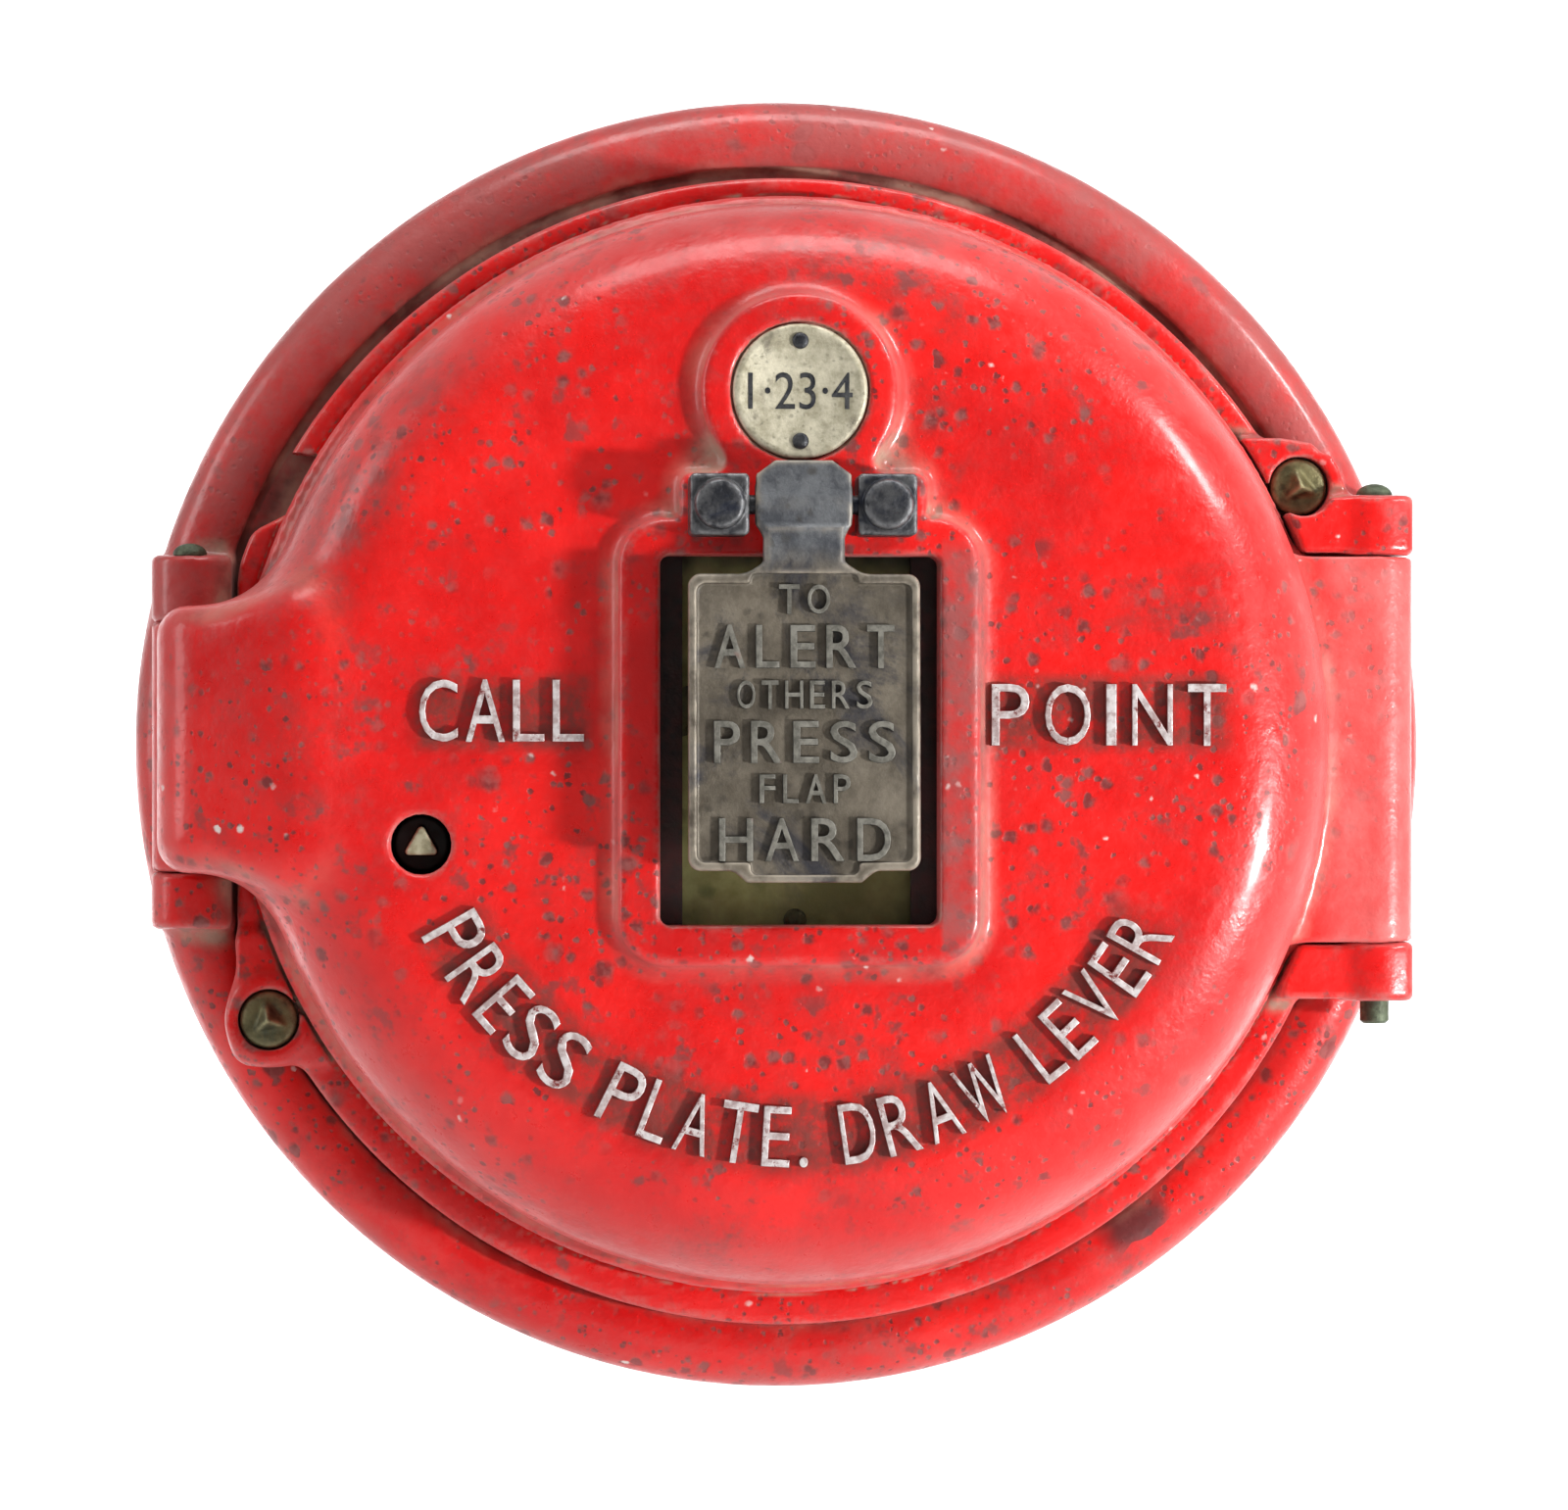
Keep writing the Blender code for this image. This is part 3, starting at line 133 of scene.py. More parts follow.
def net(f, xs, ys, zs):
    """Points (mm) and quads of the surface f = 0 on the grid."""
    values = np.stack([f(*np.meshgrid([x], ys, zs, indexing="ij"))[0] for x in xs])
    solid = values < 0
    total = np.zeros(tuple(n - 1 for n in solid.shape), np.int8)
    for i in (0, 1):
        for j in (0, 1):
            for k in (0, 1):
                total += solid[i:solid.shape[0] - 1 + i, j:solid.shape[1] - 1 + j, k:solid.shape[2] - 1 + k]
    cells = (total > 0) & (total < 8)
    index = np.full(cells.shape, -1, np.int64)
    where = np.argwhere(cells)
    index[tuple(where.T)] = np.arange(len(where))
    low = np.stack([xs[where[:, 0]], ys[where[:, 1]], zs[where[:, 2]]], 1)
    high = np.stack([xs[where[:, 0] + 1], ys[where[:, 1] + 1], zs[where[:, 2] + 1]], 1)
    size = high - low
    sums, count = np.zeros((len(where), 3)), np.zeros(len(where))
    corners = [(i, j, k) for i in (0, 1) for j in (0, 1) for k in (0, 1)]
    for a in corners:
        for axis in range(3):
            if a[axis]:
                continue
            b = tuple(1 if n == axis else v for n, v in enumerate(a))
            fa = values[tuple((where + a).T)]
            fb = values[tuple((where + b).T)]
            hit = (fa < 0) != (fb < 0)
            t = np.where(hit, fa / np.where(hit, fa - fb, 1), 0)
            point = low + size * np.array(a)
            point[:, axis] += t * size[:, axis]
            sums += np.where(hit[:, None], point, 0)
            count += hit
    points = sums / count[:, None]
    for _ in range(4):
        g = gradient(f, points)
        step = f(*points.T)[:, None] * g / np.maximum((g * g).sum(1), 0.2)[:, None]
        length = np.linalg.norm(step, axis=1, keepdims=True)
        points -= step * np.minimum(1, 0.6 / np.maximum(length, 1e-9))
    quads = []
    for axis in range(3):
        u, v = [n for n in range(3) if n != axis]
        a = np.take(solid, range(solid.shape[axis] - 1), axis)
        b = np.take(solid, range(1, solid.shape[axis]), axis)
        edges = np.argwhere(a != b)
        edges = edges[(edges[:, u] > 0) & (edges[:, v] > 0) & (edges[:, u] < solid.shape[u] - 1)
                      & (edges[:, v] < solid.shape[v] - 1)]
        du, dv = np.eye(3, dtype=int)[u], np.eye(3, dtype=int)[v]
        ring = np.stack([index[tuple((edges - off).T)] for off in (du + dv, dv, 0 * du, du)], 1)
        flip = a[tuple(edges.T)] == (axis != 1)
        ring[~flip] = ring[~flip][:, ::-1]
        quads.append(ring)
    return points, np.concatenate(quads)


def mesh_object(name, points_mm, faces):
    """A smooth-shaded mesh object from points in mm."""
    mesh = bpy.data.meshes.new(name)
    mesh.from_pydata((np.asarray(points_mm) * MM).tolist(), [], np.asarray(faces).tolist())
    mesh.validate()
    mesh.update()
    mesh.shade_smooth()
    obj = bpy.data.objects.new(name, mesh)
    bpy.context.scene.collection.objects.link(obj)
    return obj


EDGE_REACH = 0.8                # mm to the side at which the surface's fall shows an edge
EDGE_GAIN = 3.2
HOLLOW_REACHES = ((2.0, 0.45), (5.0, 0.35), (10.0, 0.2))    # mm out from the surface, and the weight of each


def cast_piece(name, f, xs, ys, zs):
    """A meshed casting, with attributes for its worn edges and its hollows: dirt in the red paint, painted shade on the
    metals.
    """
    points, quads = net(f, xs, ys, zs)
    obj = mesh_object(name, points, quads)
    normals = gradient(f, points)
    normals /= np.maximum(np.linalg.norm(normals, axis=1, keepdims=True), 1e-6)
    side = np.cross(normals, np.where(np.abs(normals[:, [1]]) < 0.9, [[0, 1, 0]], [[1, 0, 0]]))
    side /= np.maximum(np.linalg.norm(side, axis=1, keepdims=True), 1e-6)
    other = np.cross(normals, side)
    around = (side, -side, other, -other)
    bend = sum(f(*(points + EDGE_REACH * d).T) for d in around) / (len(around) * EDGE_REACH)
    shut = np.zeros(len(points))
    for reach, weight in HOLLOW_REACHES:
        shut += weight * np.clip(1 - f(*(points + reach * normals).T) / reach, 0, 1)
    for label, data in (("edge", np.clip(bend * EDGE_GAIN, 0, 1)), ("shut", np.clip(shut, 0, 1))):
        layer = obj.data.attributes.new(label, "FLOAT", "POINT")
        layer.data.foreach_set("value", data.astype(np.float32))
    return obj


# ------------------------------------------------------------------------------------------------
# Materials
# ------------------------------------------------------------------------------------------------


class Graph:
    """A short way to write a node material on object coordinates (metres)."""

    def __init__(self, name):
        self.material = bpy.data.materials.new(name)
        self.material.use_nodes = True
        self.tree = self.material.node_tree
        self.shader = self.tree.nodes["Principled BSDF"]
        self.coords = self.node("ShaderNodeTexCoord").outputs["Object"]

    def node(self, kind, **values):
        made = self.tree.nodes.new(kind)
        for key, value in values.items():
            setattr(made, key, value)
        return made

    def link(self, source, target):
        if isinstance(source, (int, float)):
            target.default_value = source
        elif isinstance(source, tuple):
            target.default_value = (*source, 1.0)[:len(target.default_value)]
        else:
            self.tree.links.new(source, target)

    def noise(self, scale, detail=3.0, rough=0.55, distort=0.0, coords=None):
        made = self.node("ShaderNodeTexNoise")
        self.link(coords or self.coords, made.inputs["Vector"])
        made.inputs["Scale"].default_value = scale
        made.inputs["Detail"].default_value = detail
        made.inputs["Roughness"].default_value = rough
        made.inputs["Distortion"].default_value = distort
        return made.outputs["Fac"]

    def math(self, operation, a, b=0.0, clamp=False):
        made = self.node("ShaderNodeMath", operation=operation, use_clamp=clamp)
        self.link(a, made.inputs[0])
        self.link(b, made.inputs[1])
        return made.outputs[0]

    def times(self, a, b, clamp=False):
        return self.math("MULTIPLY", a, b, clamp)

    def plus(self, a, b, clamp=False):
        return self.math("ADD", a, b, clamp)

    def radius(self, a, b):
        return self.math("SQRT", self.plus(self.times(a, a), self.times(b, b)))

    def frontness(self):
        """1 where the rest surface faces the front, -1 where it faces the wall."""
        return self.times(self.normal(1), -1.0)

    def ramp(self, value, low, high, to_low=0.0, to_high=1.0):
        made = self.node("ShaderNodeMapRange", clamp=True)
        made.interpolation_type = "SMOOTHSTEP"
        self.link(value, made.inputs["Value"])
        for key, number in (("From Min", low), ("From Max", high), ("To Min", to_low), ("To Max", to_high)):
            made.inputs[key].default_value = number
        return made.outputs["Result"]

    def mix(self, amount, a, b):
        made = self.node("ShaderNodeMix", data_type="RGBA")
        self.link(amount, made.inputs[0])
        self.link(a, made.inputs[6])
        self.link(b, made.inputs[7])
        return made.outputs[2]

    def channel(self, colour, which):
        made = self.node("ShaderNodeSeparateColor")
        self.link(colour, made.inputs[0])
        return made.outputs[which]

    def attribute(self, name):
        return self.node("ShaderNodeAttribute", attribute_name=name).outputs["Fac"]

    def axis(self, which, source=None):
        made = self.node("ShaderNodeSeparateXYZ")
        self.link(source or self.coords, made.inputs[0])
        return made.outputs[which]

    def normal(self, which):
        return self.axis(which, self.node("ShaderNodeTexCoord").outputs["Normal"])

    def bump(self, height, distance, strength=1.0, after=None):
        made = self.node("ShaderNodeBump")
        self.link(height, made.inputs["Height"])
        made.inputs["Distance"].default_value = distance
        made.inputs["Strength"].default_value = strength
        if after is not None:
            self.link(after, made.inputs["Normal"])
        return made.outputs["Normal"]

    def finish(self, colour, rough, metal=0.0, normal=None, **constants):
        self.link(colour, self.shader.inputs["Base Color"])
        self.link(rough, self.shader.inputs["Roughness"])
        self.link(metal, self.shader.inputs["Metallic"])
        if normal is not None:
            self.link(normal, self.shader.inputs["Normal"])
        for key, value in constants.items():
            socket = self.shader.inputs[key.replace("_", " ")]
            socket.default_value = (*value, 1.0)[:len(socket.default_value)] if isinstance(value, tuple) else value
        return self.material


FLECK_SOFTNESS = 0.45


def spots(g, scale, radius, share):
    """Round flecks: one in each of `share` of the cells, of the given radius in cells."""
    made = g.node("ShaderNodeTexVoronoi", feature="F1")
    warped = g.node("ShaderNodeVectorMath", operation="ADD")
    shift = g.node("ShaderNodeVectorMath", operation="SCALE")
    wobble = g.node("ShaderNodeTexNoise")
    g.link(g.coords, wobble.inputs["Vector"])
    wobble.inputs["Scale"].default_value = scale * 1.7
    g.link(wobble.outputs["Color"], shift.inputs[0])
    shift.inputs["Scale"].default_value = 0.55 / scale
    g.link(g.coords, warped.inputs[0])
    g.link(shift.outputs[0], warped.inputs[1])
    g.link(warped.outputs[0], made.inputs["Vector"])
    made.inputs["Scale"].default_value = scale
    made.inputs["Randomness"].default_value = 1.0
    chance = g.channel(made.outputs["Color"], 0)
    size = g.times(g.channel(made.outputs["Color"], 1), radius)
    near = g.ramp(g.math("SUBTRACT", made.outputs["Distance"], size), -FLECK_SOFTNESS * radius, FLECK_SOFTNESS * radius, 1, 0)
    return g.times(near, g.ramp(chance, 1 - share, 1 - share + 0.02))


def words_halo(g):
    """1 on the door's face between and around the letters."""
    x, z = g.axis(0), g.axis(2)
    wide = g.math("ABSOLUTE", x)
    r = g.radius(x, z)
    arc = g.ramp(g.math("ABSOLUTE", g.math("SUBTRACT", r, 0.0805)), 0.0055, 0.0100, 1, 0)
    arc = g.times(arc, g.ramp(g.plus(z, g.times(wide, 0.5)), -0.004, 0.004, 1, 0))
    row = g.ramp(g.math("ABSOLUTE", g.math("SUBTRACT", z, 0.0065)), 0.0055, 0.0095, 1, 0)
    left = g.ramp(g.math("ABSOLUTE", g.plus(x, 0.0612)), 0.0150, 0.0205, 1, 0)
    right = g.ramp(g.math("ABSOLUTE", g.math("SUBTRACT", x, 0.0640)), 0.0225, 0.0280, 1, 0)
    row = g.times(row, g.math("MAXIMUM", left, right))
    front = g.ramp(g.axis(1), -0.1005, -0.0985, 1, 0)
    return g.times(g.math("MAXIMUM", arc, row), front)


def door_dust_and_sheen(g, red, x, z):
    """Pale pink painted sheen on the hinge knuckle, and mauve dust on the window frame's right bar."""
    # Painted sheen: the knuckle takes the slopes' pale pink, for the light on its rounded right side.
    knuckle = g.times(g.ramp(x, 0.110, 0.121, 0, 0.75), g.ramp(g.noise(60, 5, 0.7), 0.34, 0.62, 0.55, 1.0))
    red = g.mix(knuckle, red, (0.60, 0.165, 0.155))
    bar = g.times(g.ramp(x, 0.0285, 0.0300), g.ramp(x, 0.0375, 0.0400, 1, 0))
    bar = g.times(bar, g.times(g.ramp(z, -0.046, -0.036), g.ramp(z, 0.036, 0.044, 1, 0)))
    bar = g.times(bar, g.ramp(g.noise(90, 5, 0.7), 0.32, 0.60, 0.30, 0.85))
    return g.mix(bar, red, (0.26, 0.085, 0.080))


def box_dust(g, red, traps, x, z, facing):
    """Dust on the upper rim, dark patches low down, and grime in the groove inside the rim."""
    upper = g.ramp(g.plus(z, g.times(g.noise(26, 4, 0.7), 0.06)), 0.010, 0.080)
    upper = g.times(upper, g.ramp(g.noise(48, 6, 0.72), 0.34, 0.60, 0.30, 0.90))
    red = g.mix(g.times(upper, facing), red, (0.36, 0.080, 0.075))
    patches = g.times(spots(g, 62, 0.46, 0.14), g.ramp(z, -0.075, -0.045, 0.85, 0))
    red = g.mix(patches, red, (0.050, 0.026, 0.026))
    r = g.plus(g.radius(x, z), g.times(g.noise(28, 4, 0.7), 0.012))
    groove = g.times(g.ramp(r, 0.1265, 0.1345, 1, 0), g.ramp(g.axis(1), -0.058, -0.005, 0.95, 0.2))
    return red, g.math("MAXIMUM", traps, groove)


def red_paint(name="worn_red_enamel", dirt=1.0, shade=1.0, worn=1.0, lettered=False, dust=(0.20, 0.030, 0.027),
              groove=False):
    """Worn red paint: tone, clouds of dust, flecks, a painted pink sheen on the slopes, grime in hollows, rubbed edges
    and chips.
    """
    g = Graph(name)
    red = g.mix(g.ramp(g.noise(22, 4, 0.6), 0.36, 0.66), (0.56 * shade, 0.004, 0.004), (0.76 * shade, 0.008, 0.006))
    red = g.mix(g.ramp(g.noise(75, 5, 0.7), 0.52, 0.70, 0, 0.40), red, (0.34 * shade, 0.014, 0.014))
    clouds = g.ramp(g.noise(15, 6, 0.65, 0.5), 0.53 - 0.05 * (worn - 1), 0.68, 0, 0.80)
    clouds = g.times(clouds, g.ramp(g.noise(170, 5, 0.7), 0.36, 0.62, 0.15, 1.0))
    red = g.mix(clouds, red, dust)
    blotch = g.times(g.ramp(g.noise(150, 3, 0.6), 0.60, 0.70), g.ramp(g.noise(30, 3), 0.42, 0.58, 0.15, 0.85))
    red = g.mix(blotch, red, (0.19, 0.032, 0.030))
    flecks = g.math("MAXIMUM", spots(g, 260, 0.40, 0.42), spots(g, 620, 0.44, 0.40))
    flecks = g.math("MAXIMUM", flecks, spots(g, 130, 0.34, 0.30))
    crowd = g.ramp(g.noise(24, 4, 0.6), 0.40, 0.60, 0.12, 1.0)
    flecks = g.times(flecks, g.times(crowd, worn), True)
    fleck_colour = g.mix(g.ramp(g.noise(300, 3), 0.4, 0.6), (0.10, 0.016, 0.016), (0.19, 0.065, 0.058))
    red = g.mix(g.times(flecks, 0.85), red, fleck_colour)
    if lettered:
        halo = g.times(words_halo(g), g.ramp(g.noise(210, 5, 0.7), 0.36, 0.60, 0.25, 0.85))
        red = g.mix(halo, red, (0.165, 0.034, 0.026))
    # Painted sheen: pale pink where the surface turns away from the front, standing in for the grazing reflection on
    # the dome's and rim's slopes.
    painted_sheen = g.times(g.ramp(g.frontness(), 0.45, 0.96, 0.50, 0.0),
                   g.ramp(g.noise(34, 5, 0.65), 0.34, 0.60, 0.45, 1.0))
    facing = g.ramp(g.frontness(), -0.45, -0.10)
    red = g.mix(g.times(painted_sheen, facing), red, (0.60, 0.165, 0.160))
    x, z = g.axis(0), g.axis(2)
    if lettered:
        red = door_dust_and_sheen(g, red, x, z)
    traps = g.ramp(g.attribute("shut"), 0.12, 0.50)
    if groove:
        red, traps = box_dust(g, red, traps, x, z, facing)
    grime = g.times(traps, g.ramp(g.noise(80, 6, 0.72), 0.28, 0.62, 0.35, 1.0))
    grime = g.times(grime, dirt, True)
    red = g.mix(grime, red, g.mix(g.ramp(g.noise(60, 4), 0.4, 0.62), (0.15, 0.052, 0.040), (0.40, 0.25, 0.185)))
    edge = g.times(g.attribute("edge"), g.ramp(g.noise(130, 5, 0.75), 0.46, 0.62))
    red = g.mix(g.times(edge, 0.75), red, (0.40, 0.20, 0.18))
    chips = g.times(spots(g, 420, 0.34, 0.035), g.ramp(g.noise(24, 2), 0.52, 0.60))
    red = g.mix(chips, red, (0.72, 0.60, 0.56))
    rough = g.ramp(g.noise(150, 5, 0.7), 0.3, 0.7, 0.26, 0.50)
    rough = g.plus(rough, g.times(grime, 0.4), True)
    rough = g.plus(rough, g.times(flecks, 0.25), True)
    peel = g.plus(g.noise(420, 2, 0.5), g.times(g.noise(1100, 2), 0.35))
    peel = g.plus(peel, g.times(flecks, -0.5))
    normal = g.bump(peel, 0.00016, 1.0)
    normal = g.bump(g.noise(70, 3), 0.0004, 0.6, normal)
    return g.finish(red, rough, 0.0, normal, Coat_Weight=0.28, Coat_Roughness=0.16, Specular_IOR_Level=0.32,
                    Sheen_Weight=0.09, Sheen_Roughness=0.35, Sheen_Tint=(1.0, 0.55, 0.55))


def metal(name, dark, light, scale=120, rough=(0.35, 0.6), metallic=0.8, stain=None, rub=0.0003,
          top_tone_and_shadow=None):
    """Mottled metal between two tones, with stains, rubbed edges, hollows darkened as painted shade and another tone at
    the top, which on the brass plate is a painted shadow.
    """
    g = Graph(name)
    colour = g.mix(g.ramp(g.noise(scale, 6, 0.65), 0.32, 0.68), dark, light)
    # Another tone above z = 36 to 44 mm: on the flap a bluer grey, on the brass plate a painted shadow from the flap.
    if top_tone_and_shadow:
        colour = g.mix(g.ramp(g.plus(g.axis(2), g.times(g.noise(120, 3), 0.006)), 0.036, 0.044), colour,
                       g.mix(g.ramp(g.noise(scale * 1.5, 5, 0.7), 0.35, 0.65), *top_tone_and_shadow))
    if stain:
        colour = g.mix(g.ramp(g.noise(scale * 0.35, 6, 0.7, 0.5), 0.52, 0.66, 0, 0.8), colour, stain)
    colour = g.mix(g.times(spots(g, scale * 4, 0.5, 0.3), 0.6), colour, tuple(c * 0.45 for c in dark))
    bright = tuple(min(1, c * 1.9 + 0.06) for c in light)
    colour = g.mix(g.times(g.attribute("edge"), g.ramp(g.noise(scale * 2, 4), 0.3, 0.6)), colour, bright)
    # Painted shade: the hollows are darkened towards a third of the dark tone.
    colour = g.mix(g.ramp(g.attribute("shut"), 0.35, 0.9, 0, 0.7), colour, tuple(c * 0.3 for c in dark))
    roughness = g.ramp(g.noise(scale * 1.6, 5, 0.7), 0.3, 0.7, *rough)
    normal = g.bump(g.noise(scale * 3, 5, 0.65), rub, 0.8)
    return g.finish(colour, roughness, metallic, normal)


def worn_letters():
    """Raised letters: the tops rubbed to bare metal, elsewhere dark red, which is the paint left on and, on the flanks,
    a painted shade.
    """
    g = Graph("worn_letter")
    top = g.ramp(g.frontness(), 0.45, 0.85)
    rubbed = g.times(top, g.ramp(g.noise(330, 5, 0.75), 0.34, 0.46))
    # Dark red where not rubbed: the paint left on, darker than the door's red, so that the flanks carry a painted
    # shade.
    paint = g.mix(g.noise(300, 3), (0.07, 0.010, 0.009), (0.26, 0.026, 0.022))
    bare = g.mix(g.ramp(g.noise(600, 4), 0.35, 0.65), (0.40, 0.30, 0.29), (0.66, 0.61, 0.60))
    rough = g.ramp(g.noise(500, 3), 0.3, 0.7, 0.28, 0.5)
    return g.finish(g.mix(rubbed, paint, bare), rough, g.times(rubbed, 0.25),
                    g.bump(g.noise(500, 3), 0.0002, 0.8), Coat_Weight=0.1, Coat_Roughness=0.3)


def flap_letters():
    """The flap's letters: tops a little paler than the field, flanks nearly black as a painted shade."""
    g = Graph("flap_letter")
    top = g.ramp(g.frontness(), 0.45, 0.9)
    pale = g.mix(g.ramp(g.noise(400, 4, 0.7), 0.35, 0.65), (0.10, 0.095, 0.078), (0.21, 0.20, 0.17))
    traces = g.times(spots(g, 330, 0.4, 0.12), g.ramp(g.noise(90, 2), 0.48, 0.60))
    pale = g.mix(traces, pale, (0.40, 0.05, 0.04))
    # Painted shade: the flanks, facing away from the front, are nearly black.
    return g.finish(g.mix(top, (0.016, 0.015, 0.012), pale), g.ramp(g.noise(300, 3), 0.3, 0.7, 0.4, 0.6), 0.3,
                    g.bump(g.noise(500, 3), 0.0002, 0.8))


def clear_glass():
    g = Graph("clear_window_glass")
    smear = g.ramp(g.noise(35, 4, 0.6), 0.4, 0.75, 0.0, 0.05)
    return g.finish((0.97, 0.985, 0.98), smear, 0.0, g.bump(g.noise(25, 2), 0.0001, 0.2), Transmission_Weight=1.0, IOR=1.12)


RED = red_paint(worn=1.3, lettered=True)
RED_BOX = red_paint("worn_red_enamel_box", 1.35, 0.95, 1.9, dust=(0.27, 0.075, 0.066), groove=True)
RED_RING = red_paint("worn_red_enamel_ring", 1.2, 1.0, 1.3, dust=(0.24, 0.052, 0.046))
BRASS = metal("dull_olive_brass", (0.060, 0.055, 0.022), (0.155, 0.14, 0.060), 160, (0.38, 0.6), 0.55, (0.045, 0.055, 0.032))
GREEN = metal("verdigris_brass", (0.050, 0.062, 0.036), (0.12, 0.15, 0.09), 300, (0.4, 0.65), 0.40, (0.05, 0.045, 0.03))
# The plate's top is a painted shadow: darker above z = 36 mm, where the flap shades it.
PLATE = metal("aged_brass_plate", (0.20, 0.18, 0.055), (0.43, 0.39, 0.15), 45, (0.45, 0.65), 0.35, (0.16, 0.13, 0.075),
              top_tone_and_shadow=((0.020, 0.017, 0.009), (0.055, 0.047, 0.025)))
GUNMETAL = metal("blue_grey_gunmetal", (0.018, 0.019, 0.024), (0.082, 0.082, 0.084), 230, (0.3, 0.5), 0.5,
                 (0.010, 0.014, 0.030))
FLAP = metal("dark_bronze_casting", (0.074, 0.060, 0.042), (0.166, 0.140, 0.104), 95, (0.40, 0.62), 0.25,
             (0.018, 0.020, 0.032), 0.0004, top_tone_and_shadow=((0.045, 0.048, 0.056), (0.12, 0.125, 0.132)))
DISC = metal("mottled_nickel", (0.30, 0.27, 0.18), (0.595, 0.55, 0.415), 200, (0.4, 0.65), 0.35, (0.14, 0.12, 0.09), 0.0002)
STEEL = metal("plain_steel", (0.20, 0.20, 0.20), (0.42, 0.42, 0.42), 140, (0.28, 0.45), 0.9, (0.18, 0.13, 0.09), 0.0001)
BLACK = metal("black_hard_rubber", (0.008, 0.007, 0.006), (0.025, 0.021, 0.018), 150, (0.35, 0.6), 0.0, None, 0.0001)
BRONZE = metal("spring_bronze", (0.24, 0.11, 0.04), (0.50, 0.28, 0.13), 160, (0.25, 0.45), 0.9, (0.10, 0.06, 0.04), 0.0001)
LETTER = worn_letters()
FLAP_LETTER = flap_letters()
# Painted shade: the red glass guides are painted a near-black maroon for the shade they sit in behind the window's
# walls.
GUIDE_PAINTED_SHADE = metal("guide_red_darkened_as_painted_shade", (0.018, 0.003, 0.002), (0.062, 0.006, 0.005), 160, (0.4, 0.6), 0.0, (0.03, 0.014, 0.010))
GLASS = clear_glass()


def dress(obj, material):
    obj.data.materials.clear()
    obj.data.materials.append(material)
    return obj


def stand_for(obj, body, slot, material, *nodes):
    """Dresses a piece, rides it on its body and, if nodes are given, puts it in their place."""
    dress(obj, material)
    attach(obj, body)
    if nodes:
        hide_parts(*nodes)
    return obj


# ------------------------------------------------------------------------------------------------
# Castings
# ------------------------------------------------------------------------------------------------
CASE_SCREWS = ((111.0, 55.6), (-110.6, -58.8))
DOOR_AXIS = (127.3, -60.0)
FRAME_AXIS = (-127.3, -59.0)
DISC_Z = 72.5
KEY = (-77.8, -20.7)
FACE_Y = -102.0                 # the door's flat face
RAISED_Y = -106.0               # the window frame, the pad and the disc's boss
FLAP_HINGE = (-114.0, 48.7)     # y, z
KNUCKLE_R = 8.0
DOOR_KNUCKLE = (-42.5, 40.3)
FRAME_KNUCKLE = (-27.0, 25.8)


def door_distance(x, y, z):
    r = np.hypot(x, z)
    dome = box2(r, y + 56.5, 114.0, 45.5, 25.0)          # wide rounded shoulder, front at -102
    dome = np.maximum(dome, y + 56.3)
    flange = extrude(r - 117.7, y, -61.2, -56.3, 1.3)
    f = join(dome, flange, 4.0)
    slope = (x + 107.0) * -0.42 - (y + 101.6) * 0.9075
    boss = extrude(box2(x + 117.0, z - 0.95, 16.0, 27.85, 6.5), y, -101.7, -68.6, 5.0)
    boss = meet(boss, slope, 9.0)
    boss = np.where(x < -80, boss, np.maximum(boss, 20.0))
    f = join(f, boss, 16.0)
    slab = extrude(span2(x, y, 100.0, 129.0, -68.0, -56.6, 1.6), z, *DOOR_KNUCKLE, 0.9)
    slab = np.maximum(slab, 104.0 - r)
    slab = join(slab, cyl_z(x, y, z, *DOOR_AXIS, KNUCKLE_R, *DOOR_KNUCKLE, 0.9), 0.5)
    f = join(f, slab, 5.0)
    plate = extrude(span2(x, z, -37.1, 37.1, -45.3, 46.2, 9.5), y, RAISED_Y, -98.0, 1.7)
    pad = extrude(span2(x, z, -24.5, 26.0, 38.0, 55.5, 2.5), y, RAISED_Y, -98.0, 1.7)
    disc = extrude(np.hypot(x, z - DISC_Z) - 20.1, y, RAISED_Y, -98.0, 1.5)
    raised = join(plate, pad, 1.5)
    raised = join(raised, disc, 7.0)
    raised = meet(raised, RAISED_Y - y, 0.6)                 # the blends stay under the flat front
    f = join(f, raised, 4.6)
    hollow = box2(r, y + 47.0, 109.0, 50.0, 20.0)
    f = cut(f, hollow, 1.5)
    seat = cyl_y(x, y, z, *KEY, 9.0, -100, -94, 0.8)
    f = join(f, seat, 1.0)
    inside_boss = extrude(span2(x, z, -128.2, -92.0, -22.0, 23.8, 5.0), y, -84.5, -66.2, 3.0)
    f = cut(f, inside_boss, 1.5)
    mouth = extrude(span2(x, z, -128.2, -117.9, -22.0, 23.8, 4.0), y, -70, -40, 1.0)
    f = np.where(y > -66.2, np.maximum(f, -mouth), f)
    window = extrude(span2(x, z, -28.8, 28.8, -37.4, 38.7, 2.0), y, -130, -80)
    f = cut(f, window, 1.1)
    recess = np.maximum(np.hypot(x, z - DISC_Z) - 14.35, y + 104.4)
    f = cut(f, recess, 0.8)
    hole = np.hypot(x - KEY[0], z - KEY[1]) - 6.25
    f = cut(f, hole, 0.9)
    bore = np.hypot(x - DOOR_AXIS[0], y - DOOR_AXIS[1]) - 3.35
    return cut(f, bore, 0.3)


def box_profile():
    turns = np.radians(np.linspace(0, -127, 28))
    roll = [(131 + 9 * math.cos(t), -41 + 9 * math.sin(t)) for t in turns]
    return [(-1, 0), (134, 0), (136, -2), *roll, (125.2, -45), (106, -45), (106, -40), (125, -40), (129, -35),
            (129, -10), (124, -5), (-1, -5)]


BOX_PROFILE = box_profile()


